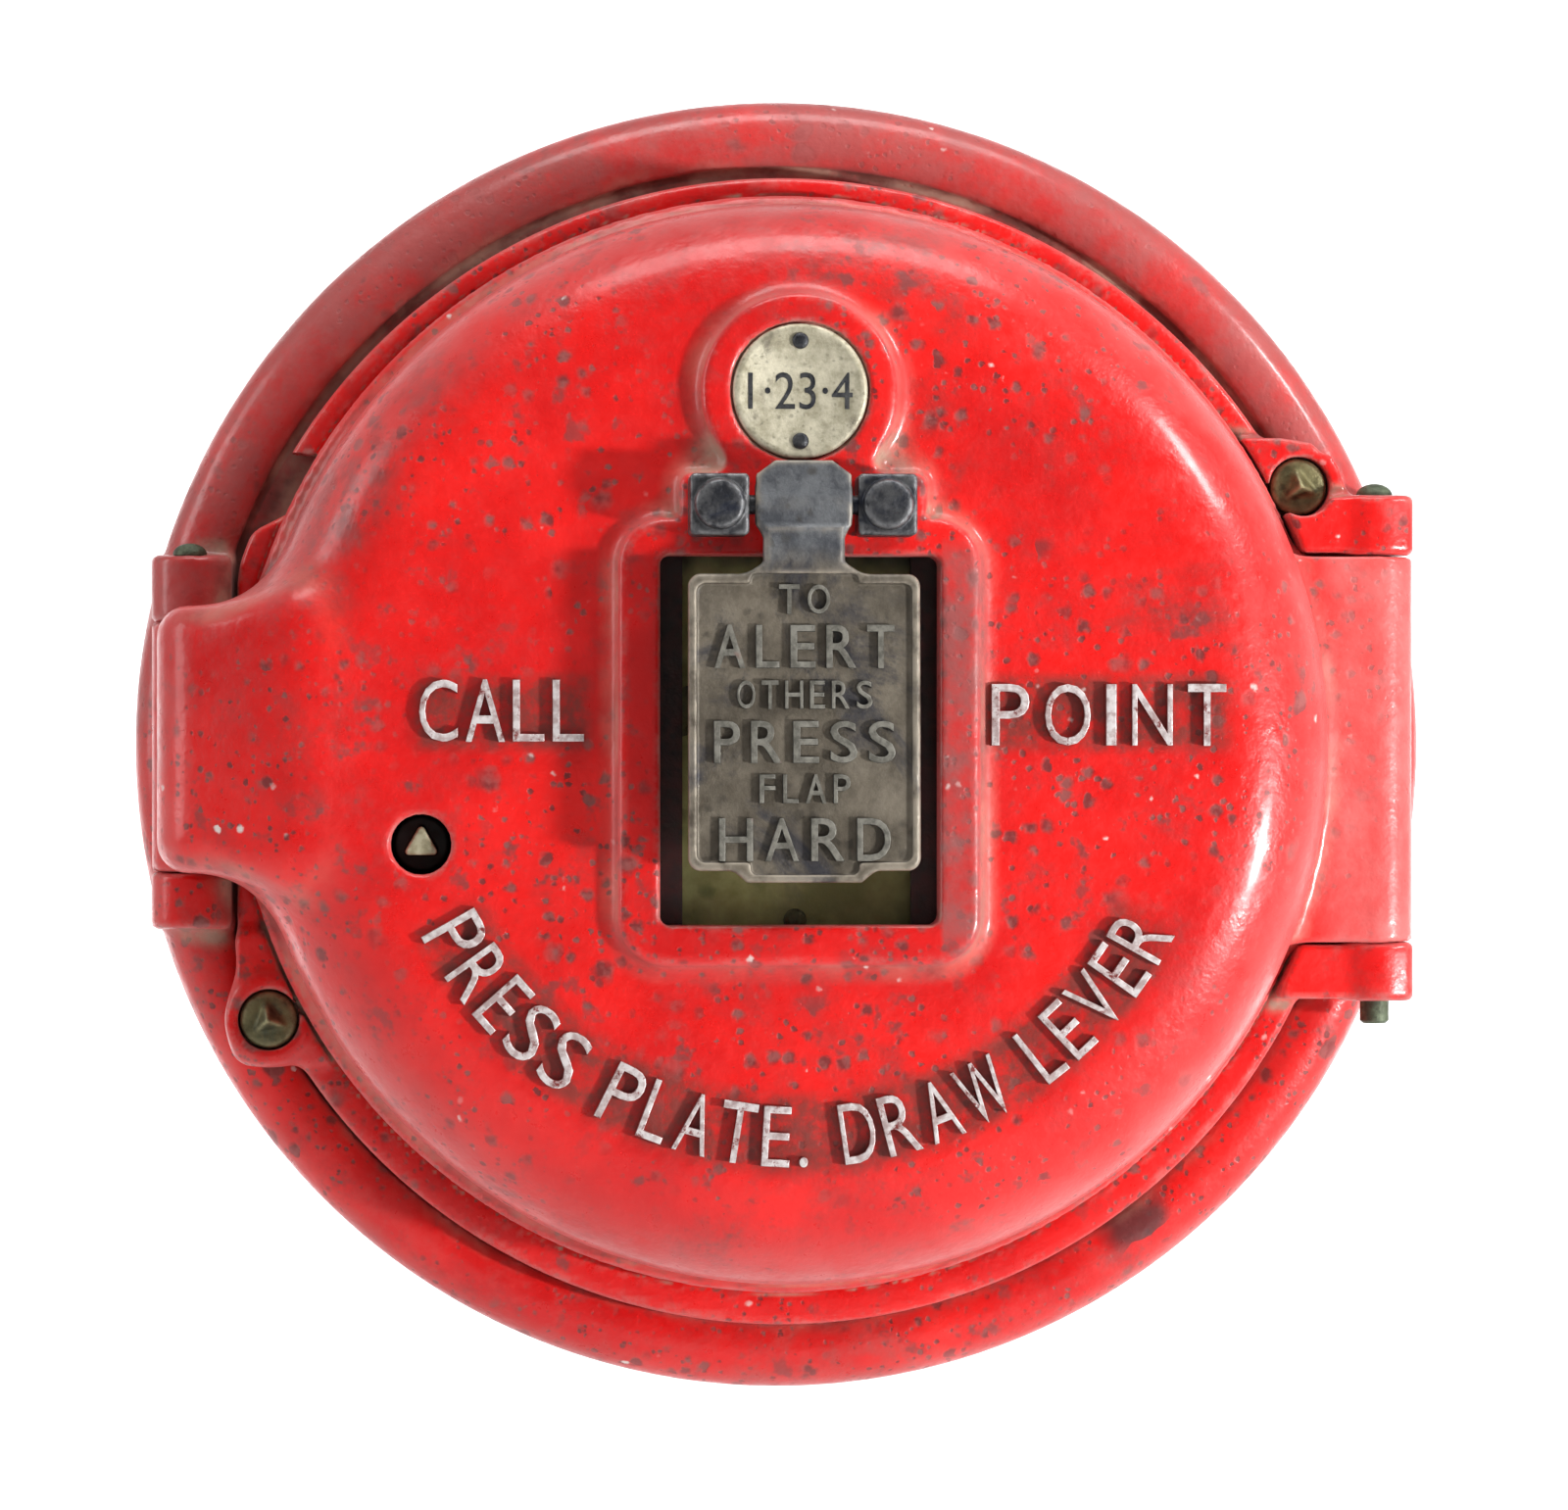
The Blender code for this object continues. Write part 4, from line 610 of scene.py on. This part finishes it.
def box_distance(x, y, z):
    r = np.hypot(x, z)
    f = poly2(r, y, BOX_PROFILE)
    for z0, z1 in ((-39.0, -27.4), (26.2, 39.9)):
        ear = cyl_z(x, y, z, *FRAME_AXIS, KNUCKLE_R, z0, z1, 1.0)
        web = extrude(span2(x, y, -134.5, -118.6, -62, -44, 1.5), z, z0, z1, 1.0)
        f = join(f, join(ear, web, 1.5), 3.5)
    for cx, cz in CASE_SCREWS:
        f = cut(f, extrude(np.hypot(x - cx, z - cz) - 5.3, y, -70, -43.5, 0.2), 0.5)
    for turn in (90, 210, 330):
        f = cut(f, np.hypot(x - 100 * math.cos(math.radians(turn)), z - 100 * math.sin(math.radians(turn))) - 3.2
                + np.where(y < -14, 50, 0), 0.5)
    f = cut(f, np.hypot(x, z + 62) - 9.3 + np.where(y < -14, 50, 0), 0.4)
    return cut(f, np.hypot(x - FRAME_AXIS[0], y - FRAME_AXIS[1]) - 3.4, 0.3)


LUG_UPPER = ((97, 66.2), (107, 66.2), (113.5, 65.2), (115.8, 63.2), (118.0, 62.4), (119.6, 60.0), (121.0, 56.0),
             (122.4, 52.9), (123, 41.2), (97, 41.2))


def ring_distance(x, y, z):
    r = np.hypot(x, z + 1.5)
    f = extrude(np.abs(r - 113.8) - 9.8, y, -56.0, -45.3, 1.6)
    f = meet(f, -117.4 - x + np.where(np.abs(z) > 60, -99, 0), 1.2)
    shoulder = (x + 117.4) * -0.45 + (z - 44.0) * 0.893
    f = np.where((x < -100) & (z > 20) & (z < 62), meet(f, shoulder, 1.5), f)
    knuckle = cyl_z(x, y, z, *FRAME_AXIS, KNUCKLE_R, *FRAME_KNUCKLE, 0.8)
    web = extrude(span2(x, y, -128, -110, -55.6, -51.4, 0.6), z, *FRAME_KNUCKLE, 0.6)
    f = join(f, join(knuckle, web, 2.0), 2.0)
    lug = extrude(poly2(x, z, LUG_UPPER), y, -60.5, -50.7, 1.2)
    low = extrude(np.hypot(x + 110.6, z + 58.8) - 9.0, y, -59.4, -50.7, 1.2)
    arm = extrude(span2(x, z, -117.6, -97, -68.0, -40, 3.0), y, -57.2, -50.9, 1.0)
    f = join(join(f, lug, 2.0), join(low, arm, 5.0), 3.0)
    relief = cyl_z(x, y, z, *DOOR_AXIS, 8.7, -43.1, 41.2, 0.1)
    f = cut(f, relief, 0.8)
    for z0, z1 in ((-54.7, -43.1), (41.2, 53.1)):
        ear = cyl_z(x, y, z, *DOOR_AXIS, KNUCKLE_R, z0, z1, 0.9)
        root = extrude(span2(x, y, 106, 134.6, -66.2, -50.8, 2.0), z, z0, z1, 0.9)
        f = join(f, join(ear, root, 2.0), 2.0)
    clear = np.maximum(np.hypot(x, z) - 118.4, y + 55.7)
    f = cut(f, clear, 0.8)
    for cx, cz in CASE_SCREWS:
        f = cut(f, np.maximum(np.hypot(x - cx, z - cz) - 6.55, y + 55.0), 0.5)
        f = cut(f, np.hypot(x - cx, z - cz) - 3.5, 0.3)
    turn = math.atan2(KEY[1], KEY[0])
    along, across = x * math.cos(turn) + z * math.sin(turn), -x * math.sin(turn) + z * math.cos(turn)
    f = join(f, extrude(span2(along, across, 95, 108, -8, 8, 1.0), y, -58.7, -54.9, 0.5), 1.0)
    for sx in (-1, 1):
        for sz in (-1, 1):
            foot = extrude(span2(sx * x, sz * z, 38, 52, 76, 100, 1.0), y, -52.6, -45.5, 0.5)
            foot = cut(foot, np.hypot(sx * x - 45, sz * z - 82.5) - 2.0, 0.2)
            f = join(f, foot, 1.5)
    f = cut(f, np.hypot(x - DOOR_AXIS[0], y - DOOR_AXIS[1]) - 3.4, 0.3)
    return cut(f, np.where(x < -110, np.hypot(x - FRAME_AXIS[0], y - FRAME_AXIS[1]) - 3.4, 9.0), 0.3)


LEAN = math.radians(1.5)        # the flap hangs out this much at its foot


def from_flap_hinge(y, z):
    return np.hypot(y - FLAP_HINGE[0], z - FLAP_HINGE[1])


def flap_distance(x, y, z):
    # Undo the lean about the hinge line, so the plate is upright in (x, v, w).
    dy, dz = y - FLAP_HINGE[0], z - FLAP_HINGE[1]
    v = dy * math.cos(LEAN) - dz * math.sin(LEAN) + FLAP_HINGE[0]
    w = dy * math.sin(LEAN) + dz * math.cos(LEAN) + FLAP_HINGE[1]
    plate = span2(x, w, -23.6, 23.6, -25.9, 34.4, 2.6)
    tab = poly2(x, w, ((-15.0, -22.0), (-14.6, -25.8), (-11.6, -28.3), (11.6, -28.3), (14.6, -25.8), (15.0, -22.0)))
    outline = join(plate, tab, 0.8)
    flare = poly2(x, w, ((-12.5, 34.0), (-8.0, 36.9), (-7.9, 44.0), (7.9, 44.0), (8.0, 36.9), (12.5, 34.0)))
    outline = join(outline, flare, 1.0)
    f = extrude(outline, v, -118.35, -114.9, 0.9)
    field = join(span2(x, w, -21.9, 21.9, -24.2, 32.4, 1.8), span2(x, w, -11.0, 11.0, -26.7, 34.4, 1.4), 0.9)
    field = extrude(field, v, -130, -117.35, 0.35)
    f = cut(f, field, 0.5)
    strap = poly2(x, w, ((-7.9, 36.0), (-7.9, 41.8), (-9.7, 44.4), (-9.7, 54.7), (-5.8, 57.6), (5.8, 57.6), (9.7, 54.7),
                         (9.7, 44.4), (7.9, 41.8), (7.9, 36.0)))
    bend = -117.9 + 0.055 * np.abs(w - FLAP_HINGE[1])
    neck = extrude(strap, v, -117.9, -114.2, 0.8)
    neck = meet(neck, bend - v, 0.8)
    f = join(f, neck, 1.5)
    barrel = extrude(from_flap_hinge(y, z) - 4.0, x, -9.6, 9.6, 0.5)
    f = join(f, barrel, 1.0)
    return cut(f, from_flap_hinge(y, z) - 2.3, 0.2)


def block_distance(x, y, z):
    """Either hinge block, as if it were at the right."""
    base = extrude(span2(x, z, 11.1, 23.2, 42.4, 55.0, 1.1), y, -117.4, -106.3, 0.9)
    stud = extrude(np.hypot(x - 17.15, z - FLAP_HINGE[1]) - 5.1, y, -119.4, -112, 1.1)
    f = join(base, stud, 0.6)
    f = cut(f, extrude(from_flap_hinge(y, z) - 2.3, x, 0, 20.2, 0.1), 0.2)
    return f


STEP = 1.0


def build_castings():
    xs = axis_steps(-136, 138, 1.75 * STEP, ((-40, -26), (-24, -12), (12, 40)), 0.75 * STEP)
    zs = axis_steps(-121, 121, 1.75 * STEP, ((-48, -34), (36, 60), (84, 95)), 0.75 * STEP)
    ys = axis_steps(-108, -53, 1.6 * STEP, ((-108, -100),), 0.7 * STEP)
    door = cast_piece("door_casting", door_distance, xs, ys, zs)
    stand_for(door, "door", "red_paint", RED, "door_cover")
    xs = axis_steps(-143, 143, 1.9 * STEP, ((-137, -117),), 1.0 * STEP)
    zs = axis_steps(-143, 143, 1.9 * STEP, ((-42, -25), (24, 42)), 1.0 * STEP)
    ys = axis_steps(-70, 2, 1.6 * STEP, ((-53, -43),), 1.0 * STEP)
    case = cast_piece("wall_box_casting", box_distance, xs, ys, zs)
    stand_for(case, "case", "red_paint", RED_BOX, "back_box")
    xs = axis_steps(-138, 138, 1.5 * STEP, ((-128, -100), (98, 136)), 0.8 * STEP)
    zs = axis_steps(-128, 128, 1.5 * STEP, ((-70, -38), (38, 70)), 0.8 * STEP)
    ys = axis_steps(-71, -43, 0.9 * STEP)
    ring = cast_piece("ring_casting", ring_distance, xs, ys, zs)
    stand_for(ring, "frame", "red_paint", RED_RING, "hinge_ring")
    xs, zs = axis_steps(-25.5, 25.5, 0.45 * STEP), axis_steps(-30.5, 60, 0.45 * STEP)
    flap = cast_piece("flap_casting", flap_distance, xs, axis_steps(-123, -108, 0.4 * STEP), zs)
    stand_for(flap, "flap", "dark_bronze", FLAP, "striker_flap")
    xs, zs = axis_steps(10, 24.5, 0.3 * STEP), axis_steps(41, 56.5, 0.3 * STEP)
    ys = axis_steps(-120.5, -105.5, 0.3 * STEP)
    for label, sign in (("left", -1), ("right", 1)):
        block = cast_piece(f"block_{label}", lambda x, y, z, sign=sign: block_distance(sign * x, y, z),
                           xs if sign > 0 else -xs[::-1], ys, zs)
        stand_for(block, "door", "dark_bronze", GUNMETAL, f"hinge_block_{label}")


build_castings()

# ------------------------------------------------------------------------------------------------
# Turned pieces
# ------------------------------------------------------------------------------------------------


def turned(name, profile, centre, about="Y", steps=64):
    """A turned piece from (radius, height) points in mm, shaded smooth except at its corners."""
    points, faces = [], []
    rows = len(profile)
    for r, h in profile:
        for k in range(steps):
            a = math.tau * k / steps
            u, v = r * math.cos(a), r * math.sin(a)
            points.append((centre[0] + u, centre[1] + h, centre[2] + v) if about == "Y" else
                          (centre[0] + u, centre[1] + v, centre[2] + h))
    for i in range(rows - 1):
        for k in range(steps):
            a, b = i * steps + k, i * steps + (k + 1) % steps
            faces.append((a, b, b + steps, a + steps))
    obj = mesh_object(name, points, faces)
    bm = bmesh.new()
    bm.from_mesh(obj.data)
    bmesh.ops.remove_doubles(bm, verts=bm.verts, dist=1e-6)
    bmesh.ops.recalc_face_normals(bm, faces=bm.faces)
    bm.to_mesh(obj.data)
    bm.free()
    obj.data.shade_smooth()
    obj.data.set_sharp_from_angle(angle=math.radians(35))
    return obj


def rounded_dome(radius, base, height, steps=10):
    """Profile points of a dome whose rim is at base and whose top is at base + height."""
    return [(radius * math.cos(t), base + height * math.sin(t)) for t in np.linspace(0, math.pi / 2, steps)]


def case_screw_distance(x, y, z):
    """A domed head carrying a blunt three-sided key."""
    r = np.hypot(x, z)
    head = extrude(r - 6.1, y, -2.4, 3.5, 1.0)
    dome = np.sqrt(x * x + (y - 8.0) ** 2 + z * z) - 11.4
    head = meet(head, dome, 1.0)
    slope = np.full(np.shape(x), -99.0)
    for t in (math.radians(a) for a in (160, 280, 40)):
        slope = meet(slope, (x * math.cos(t) + z * math.sin(t) - 0.4 - 0.62 * (y + 5.4)) * 0.8, 0.3)
    slope = meet(slope, (r - 0.8 - 0.95 * (y + 5.4)) * 0.72, 0.5)
    key = meet(slope, -5.5 - y, 0.6)
    key = np.maximum(key, y)
    f = join(head, key, 0.7)
    shank = extrude(r - 3.0, y, 2.0, 11.7, 0.4)
    return join(f, shank, 0.3)


def build_turned():
    step = 0.35 * STEP
    screws = zip(("case_screw_upper", "case_screw_lower"), CASE_SCREWS, (-57.5, -57.4))
    for name, (cx, cz), front in screws:
        f = lambda x, y, z, cx=cx, cz=cz, front=front: case_screw_distance(x - cx, y - front, z - cz)
        obj = cast_piece(f"{name}_turned", f, axis_steps(cx - 7, cx + 7, step), axis_steps(front - 8, front + 13, step),
                         axis_steps(cz - 7, cz + 7, step))
        stand_for(obj, "frame", "aged_brass", BRASS, name)
    top = 53.4
    pin = [(0.01, -60.2), (2.4, -60.2), (3.1, -59.6), (3.1, top), (3.9, top), *rounded_dome(3.9, top + 0.3, 2.6)]
    obj = turned("right_pin", pin, (*DOOR_AXIS, 0), "Z")
    stand_for(obj, "frame", "aged_brass", GREEN, "door_hinge_pin")
    top = 40.2
    pin = [(0.01, -38.5), (3.1, -38.5), (3.1, top), (3.6, top), *rounded_dome(3.6, top + 0.3, 2.3)]
    obj = turned("left_pin", pin, (*FRAME_AXIS, 0), "Z")
    stand_for(obj, "case", "aged_brass", GREEN, "frame_hinge_pin")
    disc = [(0.01, -104.7), (13.9, -104.7), (13.9, -105.6), (13.6, -106.05), (13.1, -106.25), (12.4, -106.25),
            (12.2, -106.15), (0.01, -106.15)]
    obj = turned("engraved_disc", disc, (0, 0, DISC_Z), "Y", 96)
    stand_for(obj, "door", "nickel", DISC, "number_disc")
    for label, sign in (("upper", 1), ("lower", -1)):
        z = DISC_Z + sign * 10.3
        head = [(r, -106.3 - h) for r, h in rounded_dome(1.7, 0.1, 0.7, 6)]
        pin = [(0.01, -101.9), (1.0, -101.9), (1.0, -106.3), (1.7, -106.3), *head]
        obj = turned(f"disc_rivet_{label}", pin, (0, 0, z), "Y", 28)
        stand_for(obj, "door", "dark_bronze", GUNMETAL, f"disc_pin_{label}")
    pin = [(0.01, -19.8), (2.0, -19.8), (2.0, 19.8), (0.01, 19.8)]
    obj = turned("flap_hinge_pin", pin, (0, 0, 0), "Y", 32)
    hinge = Matrix.Translation(Vector((0, *FLAP_HINGE)) * MM)
    obj.data.transform(hinge @ Matrix.Rotation(math.radians(90), 4, "Z"))
    stand_for(obj, "door", "dark_bronze", GUNMETAL, "flap_pin")


build_turned()


def spindle_distance(x, y, z):
    x, z = x - KEY[0], z - KEY[1]
    r = np.hypot(x, z)
    head = extrude(r - 5.8, y, -91.5, -77.5, 0.5)
    tri = np.full(np.shape(x), -99.0)
    for k in range(3):
        t = math.radians(30 + 120 * k)
        tri = np.maximum(tri, x * math.cos(t) + z * math.sin(t) - 2.2)
    key = extrude(meet(tri, r - 3.7, 0.5), y, -99.0, -90, 0.5)
    f = join(head, key, 0.3)
    f = join(f, extrude(r - 4.0, y, -78, -56, 0.3))
    return join(f, extrude(r - 2.8, y, -57, -49, 0.3))


def key_brass():
    """Brass that is rubbed pale on the key's end and painted nearly black further in, as shade inside the keyhole."""
    g = Graph("key_end_brass")
    # Painted shade: from about 1 to 3.5 mm behind the key's end the brass turns nearly black, inside the keyhole.
    keyhole_shade = g.ramp(g.axis(1), -0.0985, -0.0955)
    tone = g.mix(g.ramp(g.noise(500, 4), 0.35, 0.65), (0.24, 0.22, 0.13), (0.42, 0.40, 0.27))
    return g.finish(g.mix(keyhole_shade, tone, (0.010, 0.009, 0.007)), g.ramp(g.noise(300, 3), 0.3, 0.7, 0.4, 0.6), 0.2,
                    g.bump(g.noise(600, 3), 0.0001, 0.6))


def build_key():
    step = 0.4 * STEP
    obj = cast_piece("key_spindle_cut", spindle_distance, axis_steps(KEY[0] - 6.6, KEY[0] + 6.6, step),
                     axis_steps(-100, -48, step * 1.6), axis_steps(KEY[1] - 6.6, KEY[1] + 6.6, step))
    stand_for(obj, "lock", "aged_brass", key_brass(), "key_spindle")


build_key()

# ------------------------------------------------------------------------------------------------
# Raised lettering (generic words)
# ------------------------------------------------------------------------------------------------


def text_mesh(name, words, width, height, depth, weight=0.0, bevel=0.25):
    """The words as a mesh in mm, centred on the origin: x across, z up, front at -depth."""
    curve = bpy.data.curves.new(name, "FONT")
    curve.body = words
    curve.size = 1.0
    curve.align_x = "CENTER"
    curve.offset = weight
    curve.resolution_u = 4
    probe = bpy.data.objects.new(name, curve)
    bpy.context.scene.collection.objects.link(probe)
    bpy.context.view_layer.update()
    flat = bpy.data.meshes.new_from_object(probe.evaluated_get(bpy.context.evaluated_depsgraph_get()))
    size = np.array([v.co[:] for v in flat.vertices])
    low, high = size.min(0), size.max(0)
    bpy.data.meshes.remove(flat)
    scale_x, scale_z = width / (high[0] - low[0]), height / (high[1] - low[1])
    curve.extrude = 0.5
    curve.bevel_depth = 0.0
    bpy.context.view_layer.update()
    mesh = bpy.data.meshes.new_from_object(probe.evaluated_get(bpy.context.evaluated_depsgraph_get()))
    bpy.data.objects.remove(probe)
    bpy.data.curves.remove(curve)
    middle = ((low[0] + high[0]) / 2, (low[1] + high[1]) / 2)
    for vertex in mesh.vertices:
        x, up, out = vertex.co
        vertex.co = ((x - middle[0]) * scale_x * MM, (-depth if out > 0 else 0.6) * MM, (up - middle[1]) * scale_z * MM)
    bm = bmesh.new()
    bm.from_mesh(mesh)
    bmesh.ops.remove_doubles(bm, verts=bm.verts, dist=2e-6)
    bmesh.ops.dissolve_limit(bm, angle_limit=math.radians(1), verts=bm.verts, edges=bm.edges)
    bmesh.ops.recalc_face_normals(bm, faces=bm.faces)
    rim = [e for e in bm.edges if len(e.link_faces) == 2 and e.calc_face_angle(0) > math.radians(60)
           and all(v.co.y < -depth * MM * 0.9 for v in e.verts)]
    bmesh.ops.bevel(bm, geom=rim, offset=bevel * MM, segments=3, profile=0.6, affect="EDGES", clamp_overlap=True)
    bmesh.ops.triangulate(bm, faces=[f for f in bm.faces if len(f.verts) > 4])
    bm.to_mesh(mesh)
    bm.free()
    mesh.shade_smooth()
    mesh.set_sharp_from_angle(angle=math.radians(40))
    return mesh


def merge(name, objects, body, slot, material):
    """One object from several, each already in place."""
    bm = bmesh.new()
    for obj in objects:
        bm.from_mesh(obj.data)
        bpy.data.objects.remove(obj)
    mesh = bpy.data.meshes.new(name)
    bm.to_mesh(mesh)
    bm.free()
    mesh.shade_smooth()
    mesh.set_sharp_from_angle(angle=math.radians(40))
    obj = bpy.data.objects.new(name, mesh)
    bpy.context.scene.collection.objects.link(obj)
    return stand_for(obj, body, slot, material)


def loose_text(words, at, width, height, depth, turn=0.0, weight=0.0, bevel=0.3):
    mesh = text_mesh("letter", words, width, height, depth, weight, bevel)
    mesh.transform(Matrix.Translation(Vector(at) * MM) @ Matrix.Rotation(-turn, 4, "Y"))
    obj = bpy.data.objects.new("letter", mesh)
    bpy.context.scene.collection.objects.link(obj)
    return obj


LETTER_WIDTH = {"I": 2.3, ".": 2.2, "W": 10.8, "M": 10.0, "L": 6.6, "E": 6.9, "O": 9.6, "N": 8.6}


def spaced_word(words, x0, x1, z, height, depth, y):
    """Letters set one by one from x0 to x1."""
    widths = [LETTER_WIDTH.get(c, 8.0) for c in words]
    gap = (x1 - x0 - sum(widths)) / max(1, len(words) - 1)
    made, at = [], x0
    for letter, width in zip(words, widths):
        made.append(loose_text(letter, (at + width / 2, y, z), width, height, depth))
        at += width + gap
    return made


def arc_word(words, centre, radius, start, end, height, depth, y):
    """Letters along the lower arc, with their tops towards the centre."""
    widths = [3.6 if c == " " else LETTER_WIDTH.get(c, 7.2) * (0.86 if c in LETTER_WIDTH else 1) for c in words]
    gap = (math.radians(end - start) * radius - sum(widths)) / (len(words) - 1)
    made, at = [], 0.0
    for letter, width in zip(words, widths):
        angle = math.radians(start) + (at + width / 2) / radius
        if letter != " ":
            tall = 2.2 if letter == "." else height
            r = radius + (height - tall) / 2
            made.append(loose_text(letter, (centre[0] + r * math.cos(angle), y, centre[1] + r * math.sin(angle)),
                                   width, tall, depth, angle - 1.5 * math.pi))
        at += width + gap
    return made


def build_letters():
    height, depth = 12.8, 1.9
    letters = spaced_word("CALL", -78.2, -44.3, 6.8, height, depth, FACE_Y)
    merge("word_left", letters, "door", "red_paint", LETTER)
    letters = spaced_word("POINT", 39.6, 88.5, 6.0, height, depth, FACE_Y)
    merge("word_right", letters, "door", "red_paint", LETTER)
    letters = arc_word("PRESS PLATE. DRAW LEVER", (0, 0), 81.0, 206.8, 333.2, 12.6, depth, FACE_Y)
    merge("words_below", letters, "door", "red_paint", LETTER)
    letters = [loose_text("1·23·4", (0, -106.1, DISC_Z), 21.5, 7.6, 0.12, bevel=0.02)]
    merge("disc_numbers", letters, "door", "dark_bronze", GUNMETAL)


build_letters()


FLAP_LETTER_WIDTH = {"I": 0.34, "L": 0.78, "F": 0.80, "E": 0.84, "T": 0.90, "P": 0.84, "S": 0.88}
FLAP_LETTER_GAP = 0.34
FLAP_FIELD_Y = -117.55


def build_flap_text():
    rows = (("TO", 29.2, 6.0, 10.4), ("ALERT", 19.6, 8.8, 36.6), ("OTHERS", 9.8, 5.8, 27.6), ("PRESS", 0.2, 8.6, 37.0),
            ("FLAP", -9.3, 5.9, 18.6), ("HARD", -19.6, 8.8, 35.0))
    letters = []
    for words, z, height, width in rows:
        widths = [FLAP_LETTER_WIDTH.get(c, 1.0) for c in words]
        unit = width / (sum(widths) + FLAP_LETTER_GAP * (len(words) - 1))
        at = -width / 2
        for letter, share in zip(words, widths):
            middle = (at + share * unit / 2, 0, z)
            letters.append(loose_text(letter, middle, share * unit, height, 1.0, weight=0.010, bevel=0.22))
            at += (share + FLAP_LETTER_GAP) * unit
    hinge = Matrix.Translation(Vector((0, *FLAP_HINGE)) * MM)
    lean = hinge @ Matrix.Rotation(-LEAN, 4, "X") @ hinge.inverted()
    for obj in letters:
        obj.data.transform(lean @ Matrix.Translation((0, FLAP_FIELD_Y * MM, 0)))
    merge("flap_words", letters, "flap", "dark_bronze", FLAP_LETTER)


build_flap_text()

# ------------------------------------------------------------------------------------------------
# CAD nodes that stay
# ------------------------------------------------------------------------------------------------
KEEP = {
    "front_plate": PLATE, "rear_plate": PLATE, "glass_pane": GLASS, "glass_guide_left": GUIDE_PAINTED_SHADE, "glass_guide_right": GUIDE_PAINTED_SHADE,
    "door_gasket": BLACK, "cable_bush": BLACK, "terminal_block": BLACK, "contact_block": BLACK, "contact_spring_lower": BRONZE,
    "contact_spring_upper": BRONZE, "chassis_bar_left": STEEL, "chassis_bar_right": STEEL, "lever_stop": STEEL,
    "lever_arbor": STEEL, "code_arbor": STEEL, "fly_arbor": STEEL, "lock_tongue": STEEL, "tongue_nut": STEEL, "mainspring": STEEL,
    "code_wheel": DISC, "lock_housing": BLACK,
}
REPLACED = {"door_cover", "back_box", "hinge_ring", "striker_flap", "hinge_block_left", "hinge_block_right", "case_screw_upper",
            "case_screw_lower", "door_hinge_pin", "frame_hinge_pin", "number_disc", "disc_pin_upper", "disc_pin_lower",
            "flap_pin", "key_spindle"}


def dress_cad_nodes():
    for name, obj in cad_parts.items():
        if name in REPLACED:
            continue
        material = KEEP.get(name, STEEL if name.startswith(("chassis", "guide_screw")) else BRASS)
        for slot in obj.material_slots:
            slot.material = material
        if not obj.material_slots:
            obj.data.materials.append(material)


dress_cad_nodes()

# ------------------------------------------------------------------------------------------------
# Studio
# ------------------------------------------------------------------------------------------------


def build_stage():
    """A pale floor that sweeps up into a wall, well clear of the object."""
    points, faces = [], []
    path = [(-2.6, -0.30), (0.7, -0.30)]
    path += [(0.7 + 0.9 * math.sin(t), 0.60 - 0.9 * math.cos(t)) for t in np.linspace(0.1, math.pi / 2, 14)]
    path += [(1.6, 2.6)]
    for y, z in path:
        points += [(-3200, y * 1000, z * 1000), (3200, y * 1000, z * 1000)]
    for i in range(len(path) - 1):
        faces.append((2 * i, 2 * i + 1, 2 * i + 3, 2 * i + 2))
    obj = mesh_object("sweep", points, faces)
    g = Graph("pale_paper")
    colour = g.mix(g.noise(3, 3), (0.86, 0.865, 0.87), (0.90, 0.90, 0.90))
    dress(obj, g.finish(colour, g.ramp(g.noise(40, 2), 0.3, 0.7, 0.80, 0.9), 0.0, g.bump(g.noise(300, 2), 0.0002, 0.2)))


def area_light(name, at, target, size, power, size_y=None):
    """A white rectangular light at a point, aimed at a target (metres, watts)."""
    light = bpy.data.lights.new(name, "AREA")
    light.shape = "RECTANGLE"
    light.size = size
    light.size_y = size_y or size
    light.energy = power
    obj = bpy.data.objects.new(name, light)
    obj.location = at
    obj.rotation_euler = (Vector(target) - Vector(at)).to_track_quat("-Z", "Y").to_euler()
    bpy.context.scene.collection.objects.link(obj)


def build_lights():
    area_light("key", (1.22, -0.93, -0.30), (0, -0.09, 0), 0.13, 47, size_y=0.16)
    area_light("upper_right", (1.02, -0.65, 0.68), (0, -0.08, 0), 0.14, 8, size_y=0.22)
    area_light("lower_right", (0.61, -0.78, -1.05), (0, -0.08, 0), 0.14, 4)
    area_light("above", (0.05, -0.32, 1.10), (0, -0.05, 0.05), 1.0, 9, size_y=0.35)
    area_light("left", (-1.15, -0.26, 0.35), (-0.05, -0.05, 0), 0.35, 5, size_y=0.9)
    area_light("backdrop_left", (-0.95, 0.62, 0.1), (-0.35, 1.6, 0.05), 1.0, 16)
    area_light("backdrop_right", (0.95, 0.62, 0.1), (0.35, 1.6, 0.05), 1.0, 16)
    world = bpy.data.worlds.new("white_surround")
    world.use_nodes = True
    world.node_tree.nodes["Background"].inputs[0].default_value = (1, 1, 1, 1)
    world.node_tree.nodes["Background"].inputs[1].default_value = 0.22
    bpy.context.scene.world = world


def build_camera():
    camera = bpy.data.cameras.new("camera")
    turn, reach, seen = math.radians(3.6), 1.102, 0.3423      # degrees left, metres away, metres across the frame
    camera.sensor_width = 36.0
    camera.lens = camera.sensor_width * reach / seen
    camera.clip_start = 0.02
    obj = bpy.data.objects.new("camera", camera)
    target = Vector((0.0007, -0.041, -0.0023))
    obj.location = target + Vector((-math.sin(turn), -math.cos(turn), 0)) * reach
    obj.rotation_euler = (target - obj.location).to_track_quat("-Z", "Y").to_euler()
    bpy.context.scene.collection.objects.link(obj)
    bpy.context.scene.camera = obj


build_stage()
build_lights()
build_camera()
scene = bpy.context.scene
scene.view_settings.view_transform = "Standard"
scene.view_settings.look = "None"
